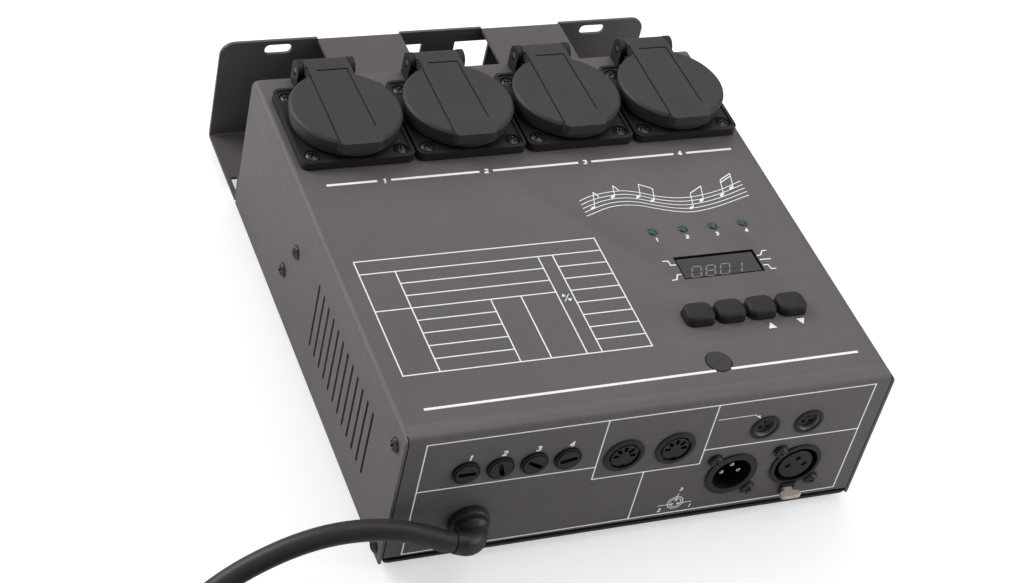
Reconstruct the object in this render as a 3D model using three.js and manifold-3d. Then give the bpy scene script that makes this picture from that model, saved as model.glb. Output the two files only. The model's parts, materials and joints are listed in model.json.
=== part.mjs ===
// A four-channel dimmer pack with mains sockets on top, a control panel and a hanging bracket.
// Millimetres, +Z up. Lengths below are measured in the case's own frame: x from the left side,
// y from the front panel and z from the surface that the feet stand on.

import * as THREE from 'three';
import { mergeVertices } from 'three/addons/utils/BufferGeometryUtils.js';
import Module from 'manifold-3d';

const wasm = await Module();
wasm.setup();

// Case
const caseWidth = 218;
const caseDepth = 222;
const caseHeight = 72.3;
const footHeight = 5;
const coverSheet = 1.2;
const traySheet = 1.5;
const coverBend = 3;
const trayBend = 2.5;
const fit = 0.3; // gap between pieces that touch
const overrun = 5; // how far a cut runs past what it cuts
const frontSeam = 0.5; // slit between the front panel and the sides
const frontReveal = 1.7; // slit between the front panel and the tray
const frontReturn = 14; // depth of the flanges folded in behind the front panel
const returnInset = 4; // the flanges stop this far below the top and above the tray
const trayFlange = 12;
const postRadius = 3;

// What goes with the case's width, as shares of it: the rows on the top and the front panel with their
// round sizes, and what stands inside
const widthShares = {
  outletPitch: 0.241743,
  outletFirst: 0.139908,
  flangeSize: 0.236697,
  pivotBack: 0.149083,
  collarRadius: 0.101835,
  barrelRadius: 0.099083,
  wellRadius: 0.089908,
  lidRadius: 0.116055,
  buttonFirst: 0.661927,
  buttonPitch: 0.066972,
  buttonWidth: 0.063303,
  lampFirst: 0.673394,
  lampPitch: 0.067431,
  displayLeft: 0.685321,
  displayWidth: 0.177982,
  eyeX: 0.658716,
  boardLeft: 0.577982,
  boardRight: 0.926606,
  fuseFirst: 0.131651,
  fusePitch: 0.066972,
  fuseCapRadius: 0.022936,
  fuseFlangeRadius: 0.027064,
  fuseBodyRadius: 0.025688,
  fuseBore: 0.017890,
  fuseStem: 0.016055,
  fuseSlotLength: 0.038532,
  dinFirst: 0.450917,
  dinPitch: 0.106422,
  dinRim: 0.041743,
  dinBezel: 0.037615,
  dinWell: 0.031651,
  dinInsert: 0.027064,
  dinBody: 0.036239,
  linkFirst: 0.742661,
  linkPitch: 0.094495,
  linkRim: 0.030734,
  linkBezel: 0.027064,
  linkWell: 0.022018,
  linkInsert: 0.017890,
  linkBody: 0.025688,
  plugSocketX: 0.703670,
  holeSocketX: 0.845413,
  poleRim: 0.055046,
  poleBezel: 0.052294,
  poleWell: 0.039908,
  poleBody: 0.051376,
  poleRing: 0.045413,
  poleInsert: 0.036239,
  mainLeft: 0.091743,
  mainRight: 0.880734,
  coreX: 0.229358,
  coreWidth: 0.211009,
  chokeFirst: 0.385321,
  chokePitch: 0.128440,
  chokeRing: 0.036697,
  chokeTube: 0.019266,
  sinkLeft: 0.201835,
  sinkLength: 0.596330,
  blockX: 0.541284,
  blockLength: 0.247706,
};

// Slots in both sides
const ventCount = 12;
const ventWidth = 1.9;
const ventLength = 35.4;
const ventFirst = 33.1;
const ventPitch = 6.77;
const ventMiddle = 36.3; // height of their middle above the case's underside

// Feet
const footRadius = 7;
const footToe = 6.2;
const footRecess = 2.6;
const footRecessDepth = 2;
const footInsetX = 17;
const footInsetY = 22;

// Hanging bracket
const bracketReach = 49.4; // from the rear wall to the upright's outer face
const bracketHeight = 56;
const bracketCorner = 7;
const bracketFoot = 16; // height of the flange against the rear wall
const bracketSlotLength = 13.2;
const bracketSlotWidth = 5.4;
const bracketSlotInset = 28;
const bracketSlotDrop = 2.3;
const bracketSlotMargin = 2.4;
const bracketWindow = 18.1;
const bracketWindowHeight = 20;
const bracketWindowTop = 7.3;
const bracketPost = 17; // the bar left between the two windows
const tongueWidth = 41.2;
const tongueOffset = 41.6;
const tongueFlange = 14;
const reliefWidth = 4;
const reliefLength = 9;
const reliefInset = 2;
const reliefGap = 7;

// Mains sockets
const outletCount = 4;
const outletPitch = caseWidth * widthShares.outletPitch;
const outletFirst = caseWidth * widthShares.outletFirst;
const flangeSize = caseWidth * widthShares.flangeSize;
const flangeCorner = 3.6;
const flangeHeight = 4.3;
const shelfHeight = 2.8;
const shelfHalf = 13.4;
const earThick = 2.6;
const earRadius = 4.4;
const pivotBack = caseWidth * widthShares.pivotBack; // from the socket's middle to the hinge pin
const outletEdge = 0.6; // from the hinge ears to the rear edge of the case
const outletY = caseDepth - outletEdge - earRadius - pivotBack;
const pivotHeight = 8.8;
const collarRadius = caseWidth * widthShares.collarRadius;
const collarHeight = 6.7;
const barrelRadius = caseWidth * widthShares.barrelRadius;
const barrelDepth = 33;
const wellRadius = caseWidth * widthShares.wellRadius;
const wellDepth = 11.5; // below the case's top
const contactRadius = 2.8;
const contactSpread = 9.5;
const contactDepth = 16;

// Socket lids
const lidRadius = caseWidth * widthShares.lidRadius;
const lidBottom = 4.8;
const lidTop = 13;
const lidTaper = 1.2;
const lidSkin = 2.2;
const lidWall = 2.1;
const strapHalf = 10.5;
const strapThick = 3.8;
const lipDepth = 5;
const lipHeight = 5;
const lidBarrel = 4.2;
const pinRadius = 1.4;

// Control panel
const buttonCount = 4;
const buttonFirst = caseWidth * widthShares.buttonFirst;
const buttonPitch = caseWidth * widthShares.buttonPitch;
const buttonY = 46;
const buttonWidth = caseWidth * widthShares.buttonWidth;
const buttonDepth = 11.4;
const buttonCorner = 3.4;
const buttonRise = 5;
const buttonCrown = 1.6;
const buttonCrownInset = 1.3;
const buttonSkirt = 2.7;
const buttonLip = 1.5;
const buttonLipThick = 1.2;
const buttonStem = 2.4;
const buttonTravel = 1;
const lampCount = 4;
const lampFirst = caseWidth * widthShares.lampFirst;
const lampPitch = caseWidth * widthShares.lampPitch;
const lampY = 100.4;
const lampRadius = 2.4;
const lampRim = 2.9;
const lampRimThick = 1;
const lampRise = 0.6; // the straight part above the panel, under the dome
const displayLeft = caseWidth * widthShares.displayLeft;
const displayFront = 69.7;
const displayWidth = caseWidth * widthShares.displayWidth;
const displayDepth = 13.9;
const displayLip = 2.5;
const displayLipThick = 1.4;
const displaySunk = 0.5;
const moduleInset = 1.5;
const eyeX = caseWidth * widthShares.eyeX;
const eyeY = 20.7;
const eyeRadius = 6.7;
const eyeRise = 0.5;
const eyeLip = 1.8;
const eyeLipThick = 1.5;
const boardThick = 1.6;
const boardDrop = 11; // from the underside of the top to the control board
const boardLeft = caseWidth * widthShares.boardLeft;
const boardRight = caseWidth * widthShares.boardRight;
const boardFront = 16.5;
const boardBack = 112;
const boardPostInset = 4;
const switchSize = 6;

// Fuses
const fuseCount = 4;
const fuseFirst = caseWidth * widthShares.fuseFirst;
const fusePitch = caseWidth * widthShares.fusePitch;
const fuseHeight = 49.7;
const fuseCapRadius = caseWidth * widthShares.fuseCapRadius;
const fuseCapThick = 1;
const fuseCapEdge = 0.3;
const fuseFlangeRadius = caseWidth * widthShares.fuseFlangeRadius;
const fuseFlangeThick = 0.9;
const fuseSeat = 0.9; // how deep the cap sits in the holder
const fuseBodyRadius = caseWidth * widthShares.fuseBodyRadius;
const fuseBodyLength = 34;
const fuseBore = caseWidth * widthShares.fuseBore;
const fuseStem = caseWidth * widthShares.fuseStem;
const fuseStemLength = 18;
const fuseSlotLength = caseWidth * widthShares.fuseSlotLength;
const fuseSlotWidth = 1.8;
const fuseSlotDepth = 0.7;

// Round signal sockets
const dinFirst = caseWidth * widthShares.dinFirst;
const dinPitch = caseWidth * widthShares.dinPitch;
const dinHeight = 46.4;
const dinRim = caseWidth * widthShares.dinRim;
const dinBezel = caseWidth * widthShares.dinBezel;
const dinRise = 1;
const dinStep = 0.6;
const dinWell = caseWidth * widthShares.dinWell;
const dinWellDepth = 5;
const dinInsert = caseWidth * widthShares.dinInsert;
const dinInsertFace = 0.6;
const dinBody = caseWidth * widthShares.dinBody;
const dinLength = 12;
const dinPinCircle = 3.5;
const dinPinHole = 0.9;
const dinPinDepth = 4;
const dinPins = 5;
const dinKeyWidth = 2;
const dinKeyDepth = 1.3;
const linkFirst = caseWidth * widthShares.linkFirst;
const linkPitch = caseWidth * widthShares.linkPitch;
const linkHeight = 51.4;
const linkRim = caseWidth * widthShares.linkRim;
const linkBezel = caseWidth * widthShares.linkBezel;
const linkRise = 0.9;
const linkStep = 0.6;
const linkWell = caseWidth * widthShares.linkWell;
const linkWellDepth = 4;
const linkInsert = caseWidth * widthShares.linkInsert;
const linkInsertFace = 0.4;
const linkBody = caseWidth * widthShares.linkBody;
const linkLength = 11;
const linkPinCircle = 2;
const linkPinHole = 0.7;
const linkPins = 3;

// Large three-pole sockets
const plugSocketX = caseWidth * widthShares.plugSocketX;
const holeSocketX = caseWidth * widthShares.holeSocketX;
const poleHeight = 24.7;
const poleRim = caseWidth * widthShares.poleRim;
const poleBezel = caseWidth * widthShares.poleBezel;
const poleRise = 1;
const poleStep = 0.6;
const poleWell = caseWidth * widthShares.poleWell;
const poleWellDepth = 13;
const poleBody = caseWidth * widthShares.poleBody;
const poleLength = 20;
const poleCircle = 3.96;
const polePin = 1.2;
const polePinSunk = 0.8; // from the panel's face to the pins' tips
const poleHole = 1.4;
const poleHoleDepth = 10;
const poleRing = caseWidth * widthShares.poleRing;
const poleInsert = caseWidth * widthShares.poleInsert;
const poleInsertFace = 0.5;
const earReach = 10.25;
const earRound = 3.9;
const earPlate = 1;
const latchHalf = 4.9;
const latchHead = 3.6;
const latchNeck = 2.2;
const latchThick = 2;
const latchDrop = 13.9; // from the socket's middle to the latch's top face
const latchReach = 6.2;
const latchInside = 9;
const latchCorner = 1.8;
const latchShelf = 1.2;

// Strain relief
const reliefX = 34.9;
const reliefZ = 20;
const bellFlange = 9.4;
const bellFlangeThick = 2.6;
const bellWaist = 7.4;
const bellLength = 7;
const bellBody = 6.2;
const bellInside = 12;
const elbowReach = 13.4; // from the panel to the elbow
const elbowRadius = 5.9;
const sleeveRadius = 5.5;
const sleeveTip = 5;
const sleeveEnd = [24.4, -12.1, 22.4];
const nutRadius = 9.6;
const nutThick = 5;
const nutSides = 6;

// Mains lead: a fixed route, then a coil of two layers, then the plug
const cordDiameter = 9;
const cordRoute = [
  [15.6, -10.1, 24.9],
  [5.6, -7.8, 27.6],
  [-5, -5.6, 28.6],
  [-15, -3.9, 28],
  [-26, -2.6, 26],
  [-38, -2, 22.3],
  [-50, -2.3, 17.3],
  [-62, -3.8, 11.8],
  [-74, -7.4, 6.5],
  [-85.5, -13.4, 2.5],
  [-96, -22, 0.1],
  [-104.6, -32.6, -0.5],
  [-111.2, -44.6, -0.5],
];
const coilCentreX = -60;
const coilCentreY = -77;
const coilRadius = 49;
const coilTurns = 4.3;
const coilStartShare = 0.46; // of a full turn, counted from +X
const coilStep = 9.8; // from one turn to the next
const coilClimb = 9.7; // from one layer to the next
const climbTurns = 0.5; // the climb to the upper layer, and the rise to the plug, take half a turn
const coilSteps = 24; // in a full turn
const coilSides = 6;
const cordSides = 10;
const cordSteps = 12;
const plugFace = 19;
const plugShoulder = 13;
const plugDepth = 22;
const plugGrip = 16;
const plugTail = 18;
const plugNeck = 5.4;
const plugPin = 2.4;
const plugPinLength = 19;
const plugPinSpread = 9.5;

// Inside
const mainLeft = caseWidth * widthShares.mainLeft;
const mainRight = caseWidth * widthShares.mainRight;
const mainFront = 44;
const mainBack = 158;
const standoff = 7;
const mainInset = 5;
const coreWidth = caseWidth * widthShares.coreWidth;
const coreDepth = 38;
const coreHeight = 32;
const coreBobbin = 6;
const coreX = caseWidth * widthShares.coreX;
const coreY = 78;
const chokeCount = 4;
const chokeFirst = caseWidth * widthShares.chokeFirst;
const chokePitch = caseWidth * widthShares.chokePitch;
const chokeY = 112;
const chokeRing = caseWidth * widthShares.chokeRing;
const chokeTube = caseWidth * widthShares.chokeTube;
const chokeSides = 8;
const finCount = 9;
const finThick = 2;
const finPitch = 3.4;
const sinkBase = 4;
const sinkHeight = 26;
const sinkLength = caseWidth * widthShares.sinkLength;
const sinkLeft = caseWidth * widthShares.sinkLeft;
const sinkFront = 128;
const blockLength = caseWidth * widthShares.blockLength;
const blockDepth = 11;
const blockHeight = 13;
const blockPoles = 6;
const blockX = caseWidth * widthShares.blockX;
const blockY = 60;

const roundSides = 24;
const smallSides = 12;
const pinSides = 6;
const arcSteps = 3;
const ventArcSteps = 2;
const quarterTurn = 90;
const slotTilts = [0, 110, -34, 12]; // how far each fuse cap's slot is turned, in degrees

const caseTop = footHeight + caseHeight;
const topUnder = caseTop - coverSheet;
const panelTop = caseTop;

// Solids

function solidOf(geometry) {
  const bare = geometry.clone();
  bare.deleteAttribute('normal');
  bare.deleteAttribute('uv');
  const merged = mergeVertices(bare);
  const index = merged.index.array;
  const faces = [];
  for (let i = 0; i < index.length; i += 3) {
    const [a, b, c] = index.slice(i, i + 3);
    if (a !== b && b !== c && c !== a) faces.push(a, b, c);
  }
  const vertProperties = new Float32Array(merged.attributes.position.array);
  const triVerts = new Uint32Array(faces);
  return new wasm.Manifold(new wasm.Mesh({ numProp: 3, vertProperties, triVerts }));
}

function block([x0, x1], [y0, y1], [z0, z1]) {
  const box = new THREE.BoxGeometry(x1 - x0, y1 - y0, z1 - z0);
  box.translate((x0 + x1) / 2, (y0 + y1) / 2, (z0 + z1) / 2);
  return solidOf(box);
}

// A rod along z from one height to another.
function rod(radius, from, to, sides = roundSides) {
  const cylinder = new THREE.CylinderGeometry(radius, radius, to - from, sides);
  cylinder.rotateX(Math.PI / 2);
  cylinder.translate(0, 0, (from + to) / 2);
  return solidOf(cylinder);
}

function rodAlongX(radius, from, to, sides = roundSides) {
  return rod(radius, from, to, sides).rotate([0, quarterTurn, 0]);
}

// A profile of radius and height turned about z. It starts and ends on the axis.
function turned(profile, sides = roundSides) {
  const points = profile.map(([radius, height]) => new THREE.Vector2(radius, height));
  const lathe = new THREE.LatheGeometry(points, sides);
  lathe.rotateX(Math.PI / 2);
  return solidOf(lathe);
}

const planes = {
  floor: new THREE.Matrix4(),
  front: new THREE.Matrix4().makeBasis(
    new THREE.Vector3(1, 0, 0), new THREE.Vector3(0, 0, 1), new THREE.Vector3(0, -1, 0)),
  side: new THREE.Matrix4().makeBasis(
    new THREE.Vector3(0, 1, 0), new THREE.Vector3(0, 0, 1), new THREE.Vector3(1, 0, 0)),
};

// A shape drawn on the floor, front or side plane and extruded across it.
function extruded(shape, depth, plane = 'floor', curveSegments = arcSteps) {
  const geometry = new THREE.ExtrudeGeometry(shape, { depth, bevelEnabled: false, curveSegments });
  geometry.applyMatrix4(planes[plane]);
  return solidOf(geometry);
}

function roundedRectangle(width, height, radius) {
  const [x, y] = [width / 2, height / 2];
  const shape = new THREE.Shape();
  shape.absarc(x - radius, y - radius, radius, 0, Math.PI / 2);
  shape.absarc(radius - x, y - radius, radius, Math.PI / 2, Math.PI);
  shape.absarc(radius - x, radius - y, radius, Math.PI, 1.5 * Math.PI);
  shape.absarc(x - radius, radius - y, radius, 1.5 * Math.PI, 2 * Math.PI);
  return shape;
}

// The outline of a sheet folded along a path. The path is the face on the left, and the sheet's
// thickness lies on the right of it. Every fold has the same outer radius.
function foldedOutline(path, thickness, bend) {
  const points = path.map(([a, b]) => new THREE.Vector2(a, b));
  const ways = points.slice(1).map((p, i) => p.clone().sub(points[i]).normalize());
  const right = (way) => new THREE.Vector2(way.y, -way.x);
  const turn = (i) => Math.sign(ways[i - 1].cross(ways[i]));
  const face = (offset) => points.map((p, i) => {
    if (i === 0) return p.clone().addScaledVector(right(ways[0]), offset);
    if (i === points.length - 1) return p.clone().addScaledVector(right(ways[i - 1]), offset);
    const sum = right(ways[i - 1]).add(right(ways[i]));
    return p.clone().addScaledVector(sum, 2 * offset / sum.lengthSq());
  });
  const rounded = (line, isLeft) => line.flatMap((p, i) => {
    if (i === 0 || i === line.length - 1) return [p];
    const isOuter = (turn(i) < 0) === isLeft;
    const radius = isOuter ? bend : bend - thickness;
    const halfAngle = Math.abs(Math.asin(ways[i - 1].cross(ways[i]))) / 2;
    const back = radius * Math.tan(halfAngle);
    const side = right(ways[i - 1]).multiplyScalar(-turn(i) * radius);
    const centre = p.clone().addScaledVector(ways[i - 1], -back).add(side);
    const start = side.clone().negate();
    return Array.from({ length: arcSteps + 1 }, (_, step) => {
      const angle = turn(i) * 2 * halfAngle * step / arcSteps;
      return centre.clone().add(start.clone().rotateAround(new THREE.Vector2(), angle));
    });
  });
  const left = rounded(face(0), true);
  const other = rounded(face(thickness), false).reverse();
  return new THREE.Shape([...left, ...other]);
}

function joined(...solids) {
  return solids.reduce((whole, solid) => whole.add(solid));
}

function cut(solid, ...tools) {
  return tools.reduce((left, tool) => left.subtract(tool), solid);
}

// What rounds off both upper corners of a plate that stands across the case.
function cornerTools([left, right], [y0, y1], top, radius) {
  const round = rod(radius, -y1, -y0).rotate([quarterTurn, 0, 0]).translate([radius, 0, -radius]);
  const tool = cut(block([-overrun, radius], [y0, y1], [-radius, overrun]), round);
  return [tool.translate([left, 0, top]), tool.mirror([1, 0, 0]).translate([right, 0, top])];
}

// Turns a solid that was drawn facing up so that it faces out of the front panel.
function onPanel(solid, x, z) {
  return solid.rotate([quarterTurn, 0, 0]).translate([x, 0, footHeight + z]);
}

const finishes = {
  coverPaint: new THREE.MeshStandardMaterial({ color: 0x6a6665, roughness: 0.55, metalness: 0.2 }),
  bracketPaint: new THREE.MeshStandardMaterial({ color: 0x5c5859, roughness: 0.55, metalness: 0.2 }),
  socketPlastic: new THREE.MeshStandardMaterial({ color: 0x2b292a, roughness: 0.6, metalness: 0 }),
  lidPlastic: new THREE.MeshStandardMaterial({ color: 0x46423f, roughness: 0.6, metalness: 0 }),
  buttonPlastic: new THREE.MeshStandardMaterial({ color: 0x1f1d1e, roughness: 0.5, metalness: 0 }),
  lampLens: new THREE.MeshStandardMaterial({ color: 0x1f4a34, roughness: 0.25, metalness: 0 }),
  smokedPlastic: new THREE.MeshStandardMaterial({ color: 0x2a2628, roughness: 0.2, metalness: 0 }),
  connectorPlastic: new THREE.MeshStandardMaterial({ color: 0x1a1819, roughness: 0.45, metalness: 0 }),
  rubber: new THREE.MeshStandardMaterial({ color: 0x151415, roughness: 0.7, metalness: 0 }),
  steel: new THREE.MeshStandardMaterial({ color: 0xc9c4b8, roughness: 0.35, metalness: 1 }),
  aluminium: new THREE.MeshStandardMaterial({ color: 0xb4b6b8, roughness: 0.4, metalness: 1 }),
  board: new THREE.MeshStandardMaterial({ color: 0x23563a, roughness: 0.5, metalness: 0 }),
  copper: new THREE.MeshStandardMaterial({ color: 0xa5612f, roughness: 0.4, metalness: 0.8 }),
};

const pieces = new THREE.Group();

function addPiece(name, solid, finish) {
  const { vertProperties, triVerts } = solid.asOriginal().simplify().getMesh();
  const geometry = new THREE.BufferGeometry();
  geometry.setAttribute('position', new THREE.BufferAttribute(vertProperties, 3));
  geometry.setIndex(new THREE.BufferAttribute(triVerts, 1));
  geometry.computeVertexNormals();
  const mesh = new THREE.Mesh(geometry, finishes[finish]);
  mesh.name = name;
  pieces.add(mesh);
}

const placesOf = (count, first, pitch) => Array.from({ length: count }, (_, i) => first + i * pitch);

// Cover: a saddle over top and sides, and an apron over top and front, as one folded sheet

const outletPlaces = placesOf(outletCount, outletFirst, outletPitch);
const buttonPlaces = placesOf(buttonCount, buttonFirst, buttonPitch);
const lampPlaces = placesOf(lampCount, lampFirst, lampPitch);
const fusePlaces = placesOf(fuseCount, fuseFirst, fusePitch);
const boardPosts = [boardLeft + boardPostInset, boardRight - boardPostInset].flatMap(
  (x) => [boardFront + boardPostInset, boardBack - boardPostInset].map((y) => [x, y]));

function makeCover() {
  const saddlePath = [
    [0, footHeight], [0, caseTop], [caseWidth, caseTop], [caseWidth, footHeight]];
  const saddle = extruded(foldedOutline(saddlePath, coverSheet, coverBend), caseDepth, 'front')
    .translate([0, caseDepth, 0]);
  const seam = coverSheet + frontSeam;
  const panelBottom = footHeight + traySheet + frontReveal;
  const apronPath = [[0, panelBottom], [0, caseTop], [coverBend + overrun, caseTop]];
  const apron = extruded(foldedOutline(apronPath, coverSheet, coverBend), caseWidth - 2 * seam, 'side')
    .translate([seam, 0, 0]);
  const notch = block([coverSheet, caseWidth - coverSheet], [-overrun, coverBend], [0, caseTop + overrun]);
  const edge = rodAlongX(coverBend, -2 * overrun, caseWidth + 2 * overrun)
    .translate([0, coverBend, caseTop - coverBend]);
  const corner = cut(block([-overrun, caseWidth + overrun], [-overrun, coverBend],
    [caseTop - coverBend, caseTop + overrun]), edge);
  const returns = [seam, caseWidth - seam - coverSheet].map((x) => block(
    [x, x + coverSheet], [coverSheet / 2, frontReturn],
    [panelBottom + returnInset, caseTop - returnInset]));
  const posts = boardPosts.map(([x, y]) => rod(
    postRadius, topUnder - boardDrop + fit, topUnder + coverSheet / 2, smallSides).translate([x, y, 0]));
  return joined(cut(saddle, notch, corner), apron, ...returns, ...posts);
}

function makeVents() {
  const outline = roundedRectangle(ventWidth, ventLength, ventWidth / 2);
  const slot = extruded(outline, caseWidth + 2 * overrun, 'side', ventArcSteps);
  const middle = footHeight + ventMiddle;
  return placesOf(ventCount, ventFirst, ventPitch).map((y) => slot.translate([-overrun, y, middle]));
}

function makeTopHoles() {
  const [low, high] = [topUnder - overrun, caseTop + overrun];
  const outlets = outletPlaces.map((x) => rod(barrelRadius + fit, low, high).translate([x, outletY, 0]));
  const row = (buttonCount - 1) * buttonPitch;
  const outline = roundedRectangle(row + buttonWidth + 2 * fit, buttonDepth + 2 * fit, buttonCorner + fit);
  const buttons = extruded(outline, high - low).translate([buttonFirst + row / 2, buttonY, low]);
  const lamps = lampPlaces.map((x) => rod(lampRadius + fit, low, high, smallSides).translate([x, lampY, 0]));
  const display = block([displayLeft, displayLeft + displayWidth],
    [displayFront, displayFront + displayDepth], [low, high]);
  const eye = rod(eyeRadius, low, high).translate([eyeX, eyeY, 0]);
  return [...outlets, buttons, ...lamps, display, eye];
}

function makePanelHoles() {
  const through = (radius, sides = roundSides) => rod(radius + fit, -overrun, overrun, sides);
  const fuses = fusePlaces.map((x) => onPanel(through(fuseBodyRadius, smallSides), x, fuseHeight));
  const dins = [0, 1].map((i) => onPanel(through(dinBody), dinFirst + i * dinPitch, dinHeight));
  const links = [0, 1].map(
    (i) => onPanel(through(linkBody, smallSides), linkFirst + i * linkPitch, linkHeight));
  const poles = [plugSocketX, holeSocketX].map((x) => onPanel(through(poleBody), x, poleHeight));
  const latch = onPanel(block([-latchNeck - 2 * fit, latchNeck + 2 * fit],
    [-latchDrop - latchThick - 2 * fit, 0], [-overrun, overrun]), holeSocketX, poleHeight);
  const lead = onPanel(through(bellBody), reliefX, reliefZ);
  return [...fuses, ...dins, ...links, ...poles, latch, lead];
}

addPiece('cover', cut(makeCover(), ...makeVents(), ...makeTopHoles(), ...makePanelHoles()), 'coverPaint');

// Tray: bottom, low side flanges, rear wall and the posts for the main board

const trayLeft = coverSheet + fit;
const trayRight = caseWidth - trayLeft;
const trayTop = footHeight + traySheet;
const mainPosts = [mainLeft + mainInset, mainRight - mainInset].flatMap(
  (x) => [mainFront + mainInset, mainBack - mainInset].map((y) => [x, y]));

function makeTray() {
  const flangeTop = footHeight + trayFlange;
  const floorPath = [
    [trayRight, flangeTop], [trayRight, footHeight], [trayLeft, footHeight], [trayLeft, flangeTop]];
  const floorDepth = caseDepth - trayBend;
  const floor = extruded(foldedOutline(floorPath, traySheet, trayBend), floorDepth, 'front')
    .translate([0, floorDepth, 0]);
  const wallPath = [
    [caseDepth, topUnder - fit], [caseDepth, footHeight], [caseDepth - frontReturn, footHeight]];
  const wall = extruded(foldedOutline(wallPath, traySheet, trayBend), trayRight - trayLeft, 'side')
    .translate([trayLeft, 0, 0]);
  const clear = block([0, caseWidth], [-overrun, frontReturn + 2 * fit], [trayTop + fit, caseTop]);
  const posts = mainPosts.map(([x, y]) => rod(
    postRadius, trayTop - traySheet / 2, trayTop + standoff, smallSides).translate([x, y, 0]));
  const corners = cornerTools([trayLeft, trayRight], [caseDepth - overrun, caseDepth + overrun],
    topUnder - fit, coverBend - coverSheet - fit);
  return joined(cut(floor, clear), cut(wall, ...corners), ...posts);
}

addPiece('base_tray', makeTray(), 'bracketPaint');

// Hanging bracket: a folded sheet behind the rear wall

function makeBracket() {
  const near = caseDepth + fit;
  const far = caseDepth + bracketReach;
  const top = footHeight + bracketHeight;
  const troughPath = [[far, top], [far, footHeight], [near, footHeight], [near, footHeight + bracketFoot]];
  const trough = extruded(foldedOutline(troughPath, traySheet, trayBend), caseWidth, 'side');
  const middle = caseWidth / 2;
  const tonguePath = [
    [near, top - tongueFlange], [near, top], [far, top], [far, top - bracketWindowTop / 2]];
  const tongues = [-1, 1].map((side) => extruded(
    foldedOutline(tonguePath, traySheet, trayBend), tongueWidth, 'side')
    .translate([middle + side * tongueOffset - tongueWidth / 2, 0, 0]));
  const folds = [-1, 1].map((side) => block(
    [middle + side * tongueOffset - tongueWidth / 2, middle + side * tongueOffset + tongueWidth / 2],
    [near, far + overrun], [top - trayBend, top + overrun]));
  const corners = cornerTools([0, caseWidth], [far - overrun, far + overrun], top, bracketCorner);
  const slotHeight = top - bracketSlotDrop - bracketSlotWidth / 2;
  const slots = [bracketSlotInset, caseWidth - bracketSlotInset].map((x) => extruded(
    roundedRectangle(bracketSlotLength, bracketSlotWidth, bracketSlotMargin), 2 * overrun, 'front')
    .translate([x, far + overrun, slotHeight]));
  const windows = [-1, 1].map((side) => {
    const from = middle + side * bracketPost / 2;
    return block([Math.min(from, from + side * bracketWindow), Math.max(from, from + side * bracketWindow)],
      [far - overrun, far + overrun], [top - bracketWindowTop - bracketWindowHeight, top - bracketWindowTop]);
  });
  const reliefs = [reliefInset, caseWidth - reliefInset - reliefWidth].map((x) => block(
    [x, x + reliefWidth], [near + reliefGap, near + reliefGap + reliefLength],
    [footHeight - overrun, trayTop + overrun]));
  return cut(joined(cut(trough, ...folds, ...corners), ...tongues), ...slots, ...windows, ...reliefs);
}

addPiece('hanging_bracket', makeBracket(), 'bracketPaint');

// Feet

function makeFoot() {
  return turned([
    [0, footRecessDepth], [footRecess, footRecessDepth], [footRecess, 0], [footToe, 0],
    [footRadius, footHeight - fit], [0, footHeight - fit]], smallSides);
}

[[0, 0], [1, 0], [0, 1], [1, 1]].forEach(([right, back], i) => {
  const x = right ? caseWidth - footInsetX : footInsetX;
  const y = back ? caseDepth - footInsetY : footInsetY;
  addPiece(`foot_${i + 1}`, makeFoot().translate([x, y, 0]), 'rubber');
});

// Mains sockets with their lids and hinge pins, drawn about each socket's middle on the case's top

function makeSocketBody() {
  const flange = extruded(roundedRectangle(flangeSize, flangeSize, flangeCorner), flangeHeight - fit)
    .translate([0, 0, fit]);
  const shelf = block([-shelfHalf, shelfHalf], [flangeSize / 2 - flangeCorner, pivotBack + earRadius],
    [fit, shelfHeight]);
  const earShape = new THREE.Shape();
  earShape.moveTo(pivotBack - earRadius, fit);
  earShape.lineTo(pivotBack + earRadius, fit);
  earShape.absarc(pivotBack, pivotHeight, earRadius, 0, Math.PI);
  const ear = extruded(earShape, earThick, 'side');
  const ears = [-shelfHalf, shelfHalf - earThick].map((x) => ear.translate([x, 0, 0]));
  const collar = rod(collarRadius, flangeHeight / 2, collarHeight);
  const barrel = rod(barrelRadius, -barrelDepth, flangeHeight / 2);
  const well = rod(wellRadius, -wellDepth, collarHeight + overrun);
  const contacts = [-contactSpread, contactSpread].map((x) => rod(contactRadius,
    -wellDepth - contactDepth, 0, smallSides).translate([x, 0, 0]));
  const bore = rodAlongX(pinRadius + fit, -shelfHalf - overrun, shelfHalf + overrun, smallSides)
    .translate([0, pivotBack, pivotHeight]);
  return cut(joined(flange, shelf, ...ears, collar, barrel), well, ...contacts, bore);
}

function makeSocketLid() {
  const disc = turned([
    [0, lidBottom], [lidRadius - lidTaper, lidBottom], [lidRadius, lidTop], [0, lidTop]]);
  const strap = block([-strapHalf, strapHalf], [0, pivotBack], [lidTop - strapThick, lidTop]);
  const lip = block(
    [-strapHalf, strapHalf], [-lidRadius - fit / 2, lipDepth - lidRadius], [lidTop - lipHeight, lidTop]);
  const barrelHalf = shelfHalf - earThick - fit;
  const barrel = rodAlongX(lidBarrel, -barrelHalf, barrelHalf).translate([0, pivotBack, pivotHeight]);
  const hollow = rod(lidRadius - lidWall, lidBottom - overrun, lidTop - lidSkin);
  const bore = rodAlongX(pinRadius + fit, -shelfHalf, shelfHalf, smallSides)
    .translate([0, pivotBack, pivotHeight]);
  return cut(joined(disc, strap, lip, barrel), hollow, bore);
}

function makeLidPin() {
  return rodAlongX(pinRadius, -shelfHalf, shelfHalf, smallSides).translate([0, pivotBack, pivotHeight]);
}

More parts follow.
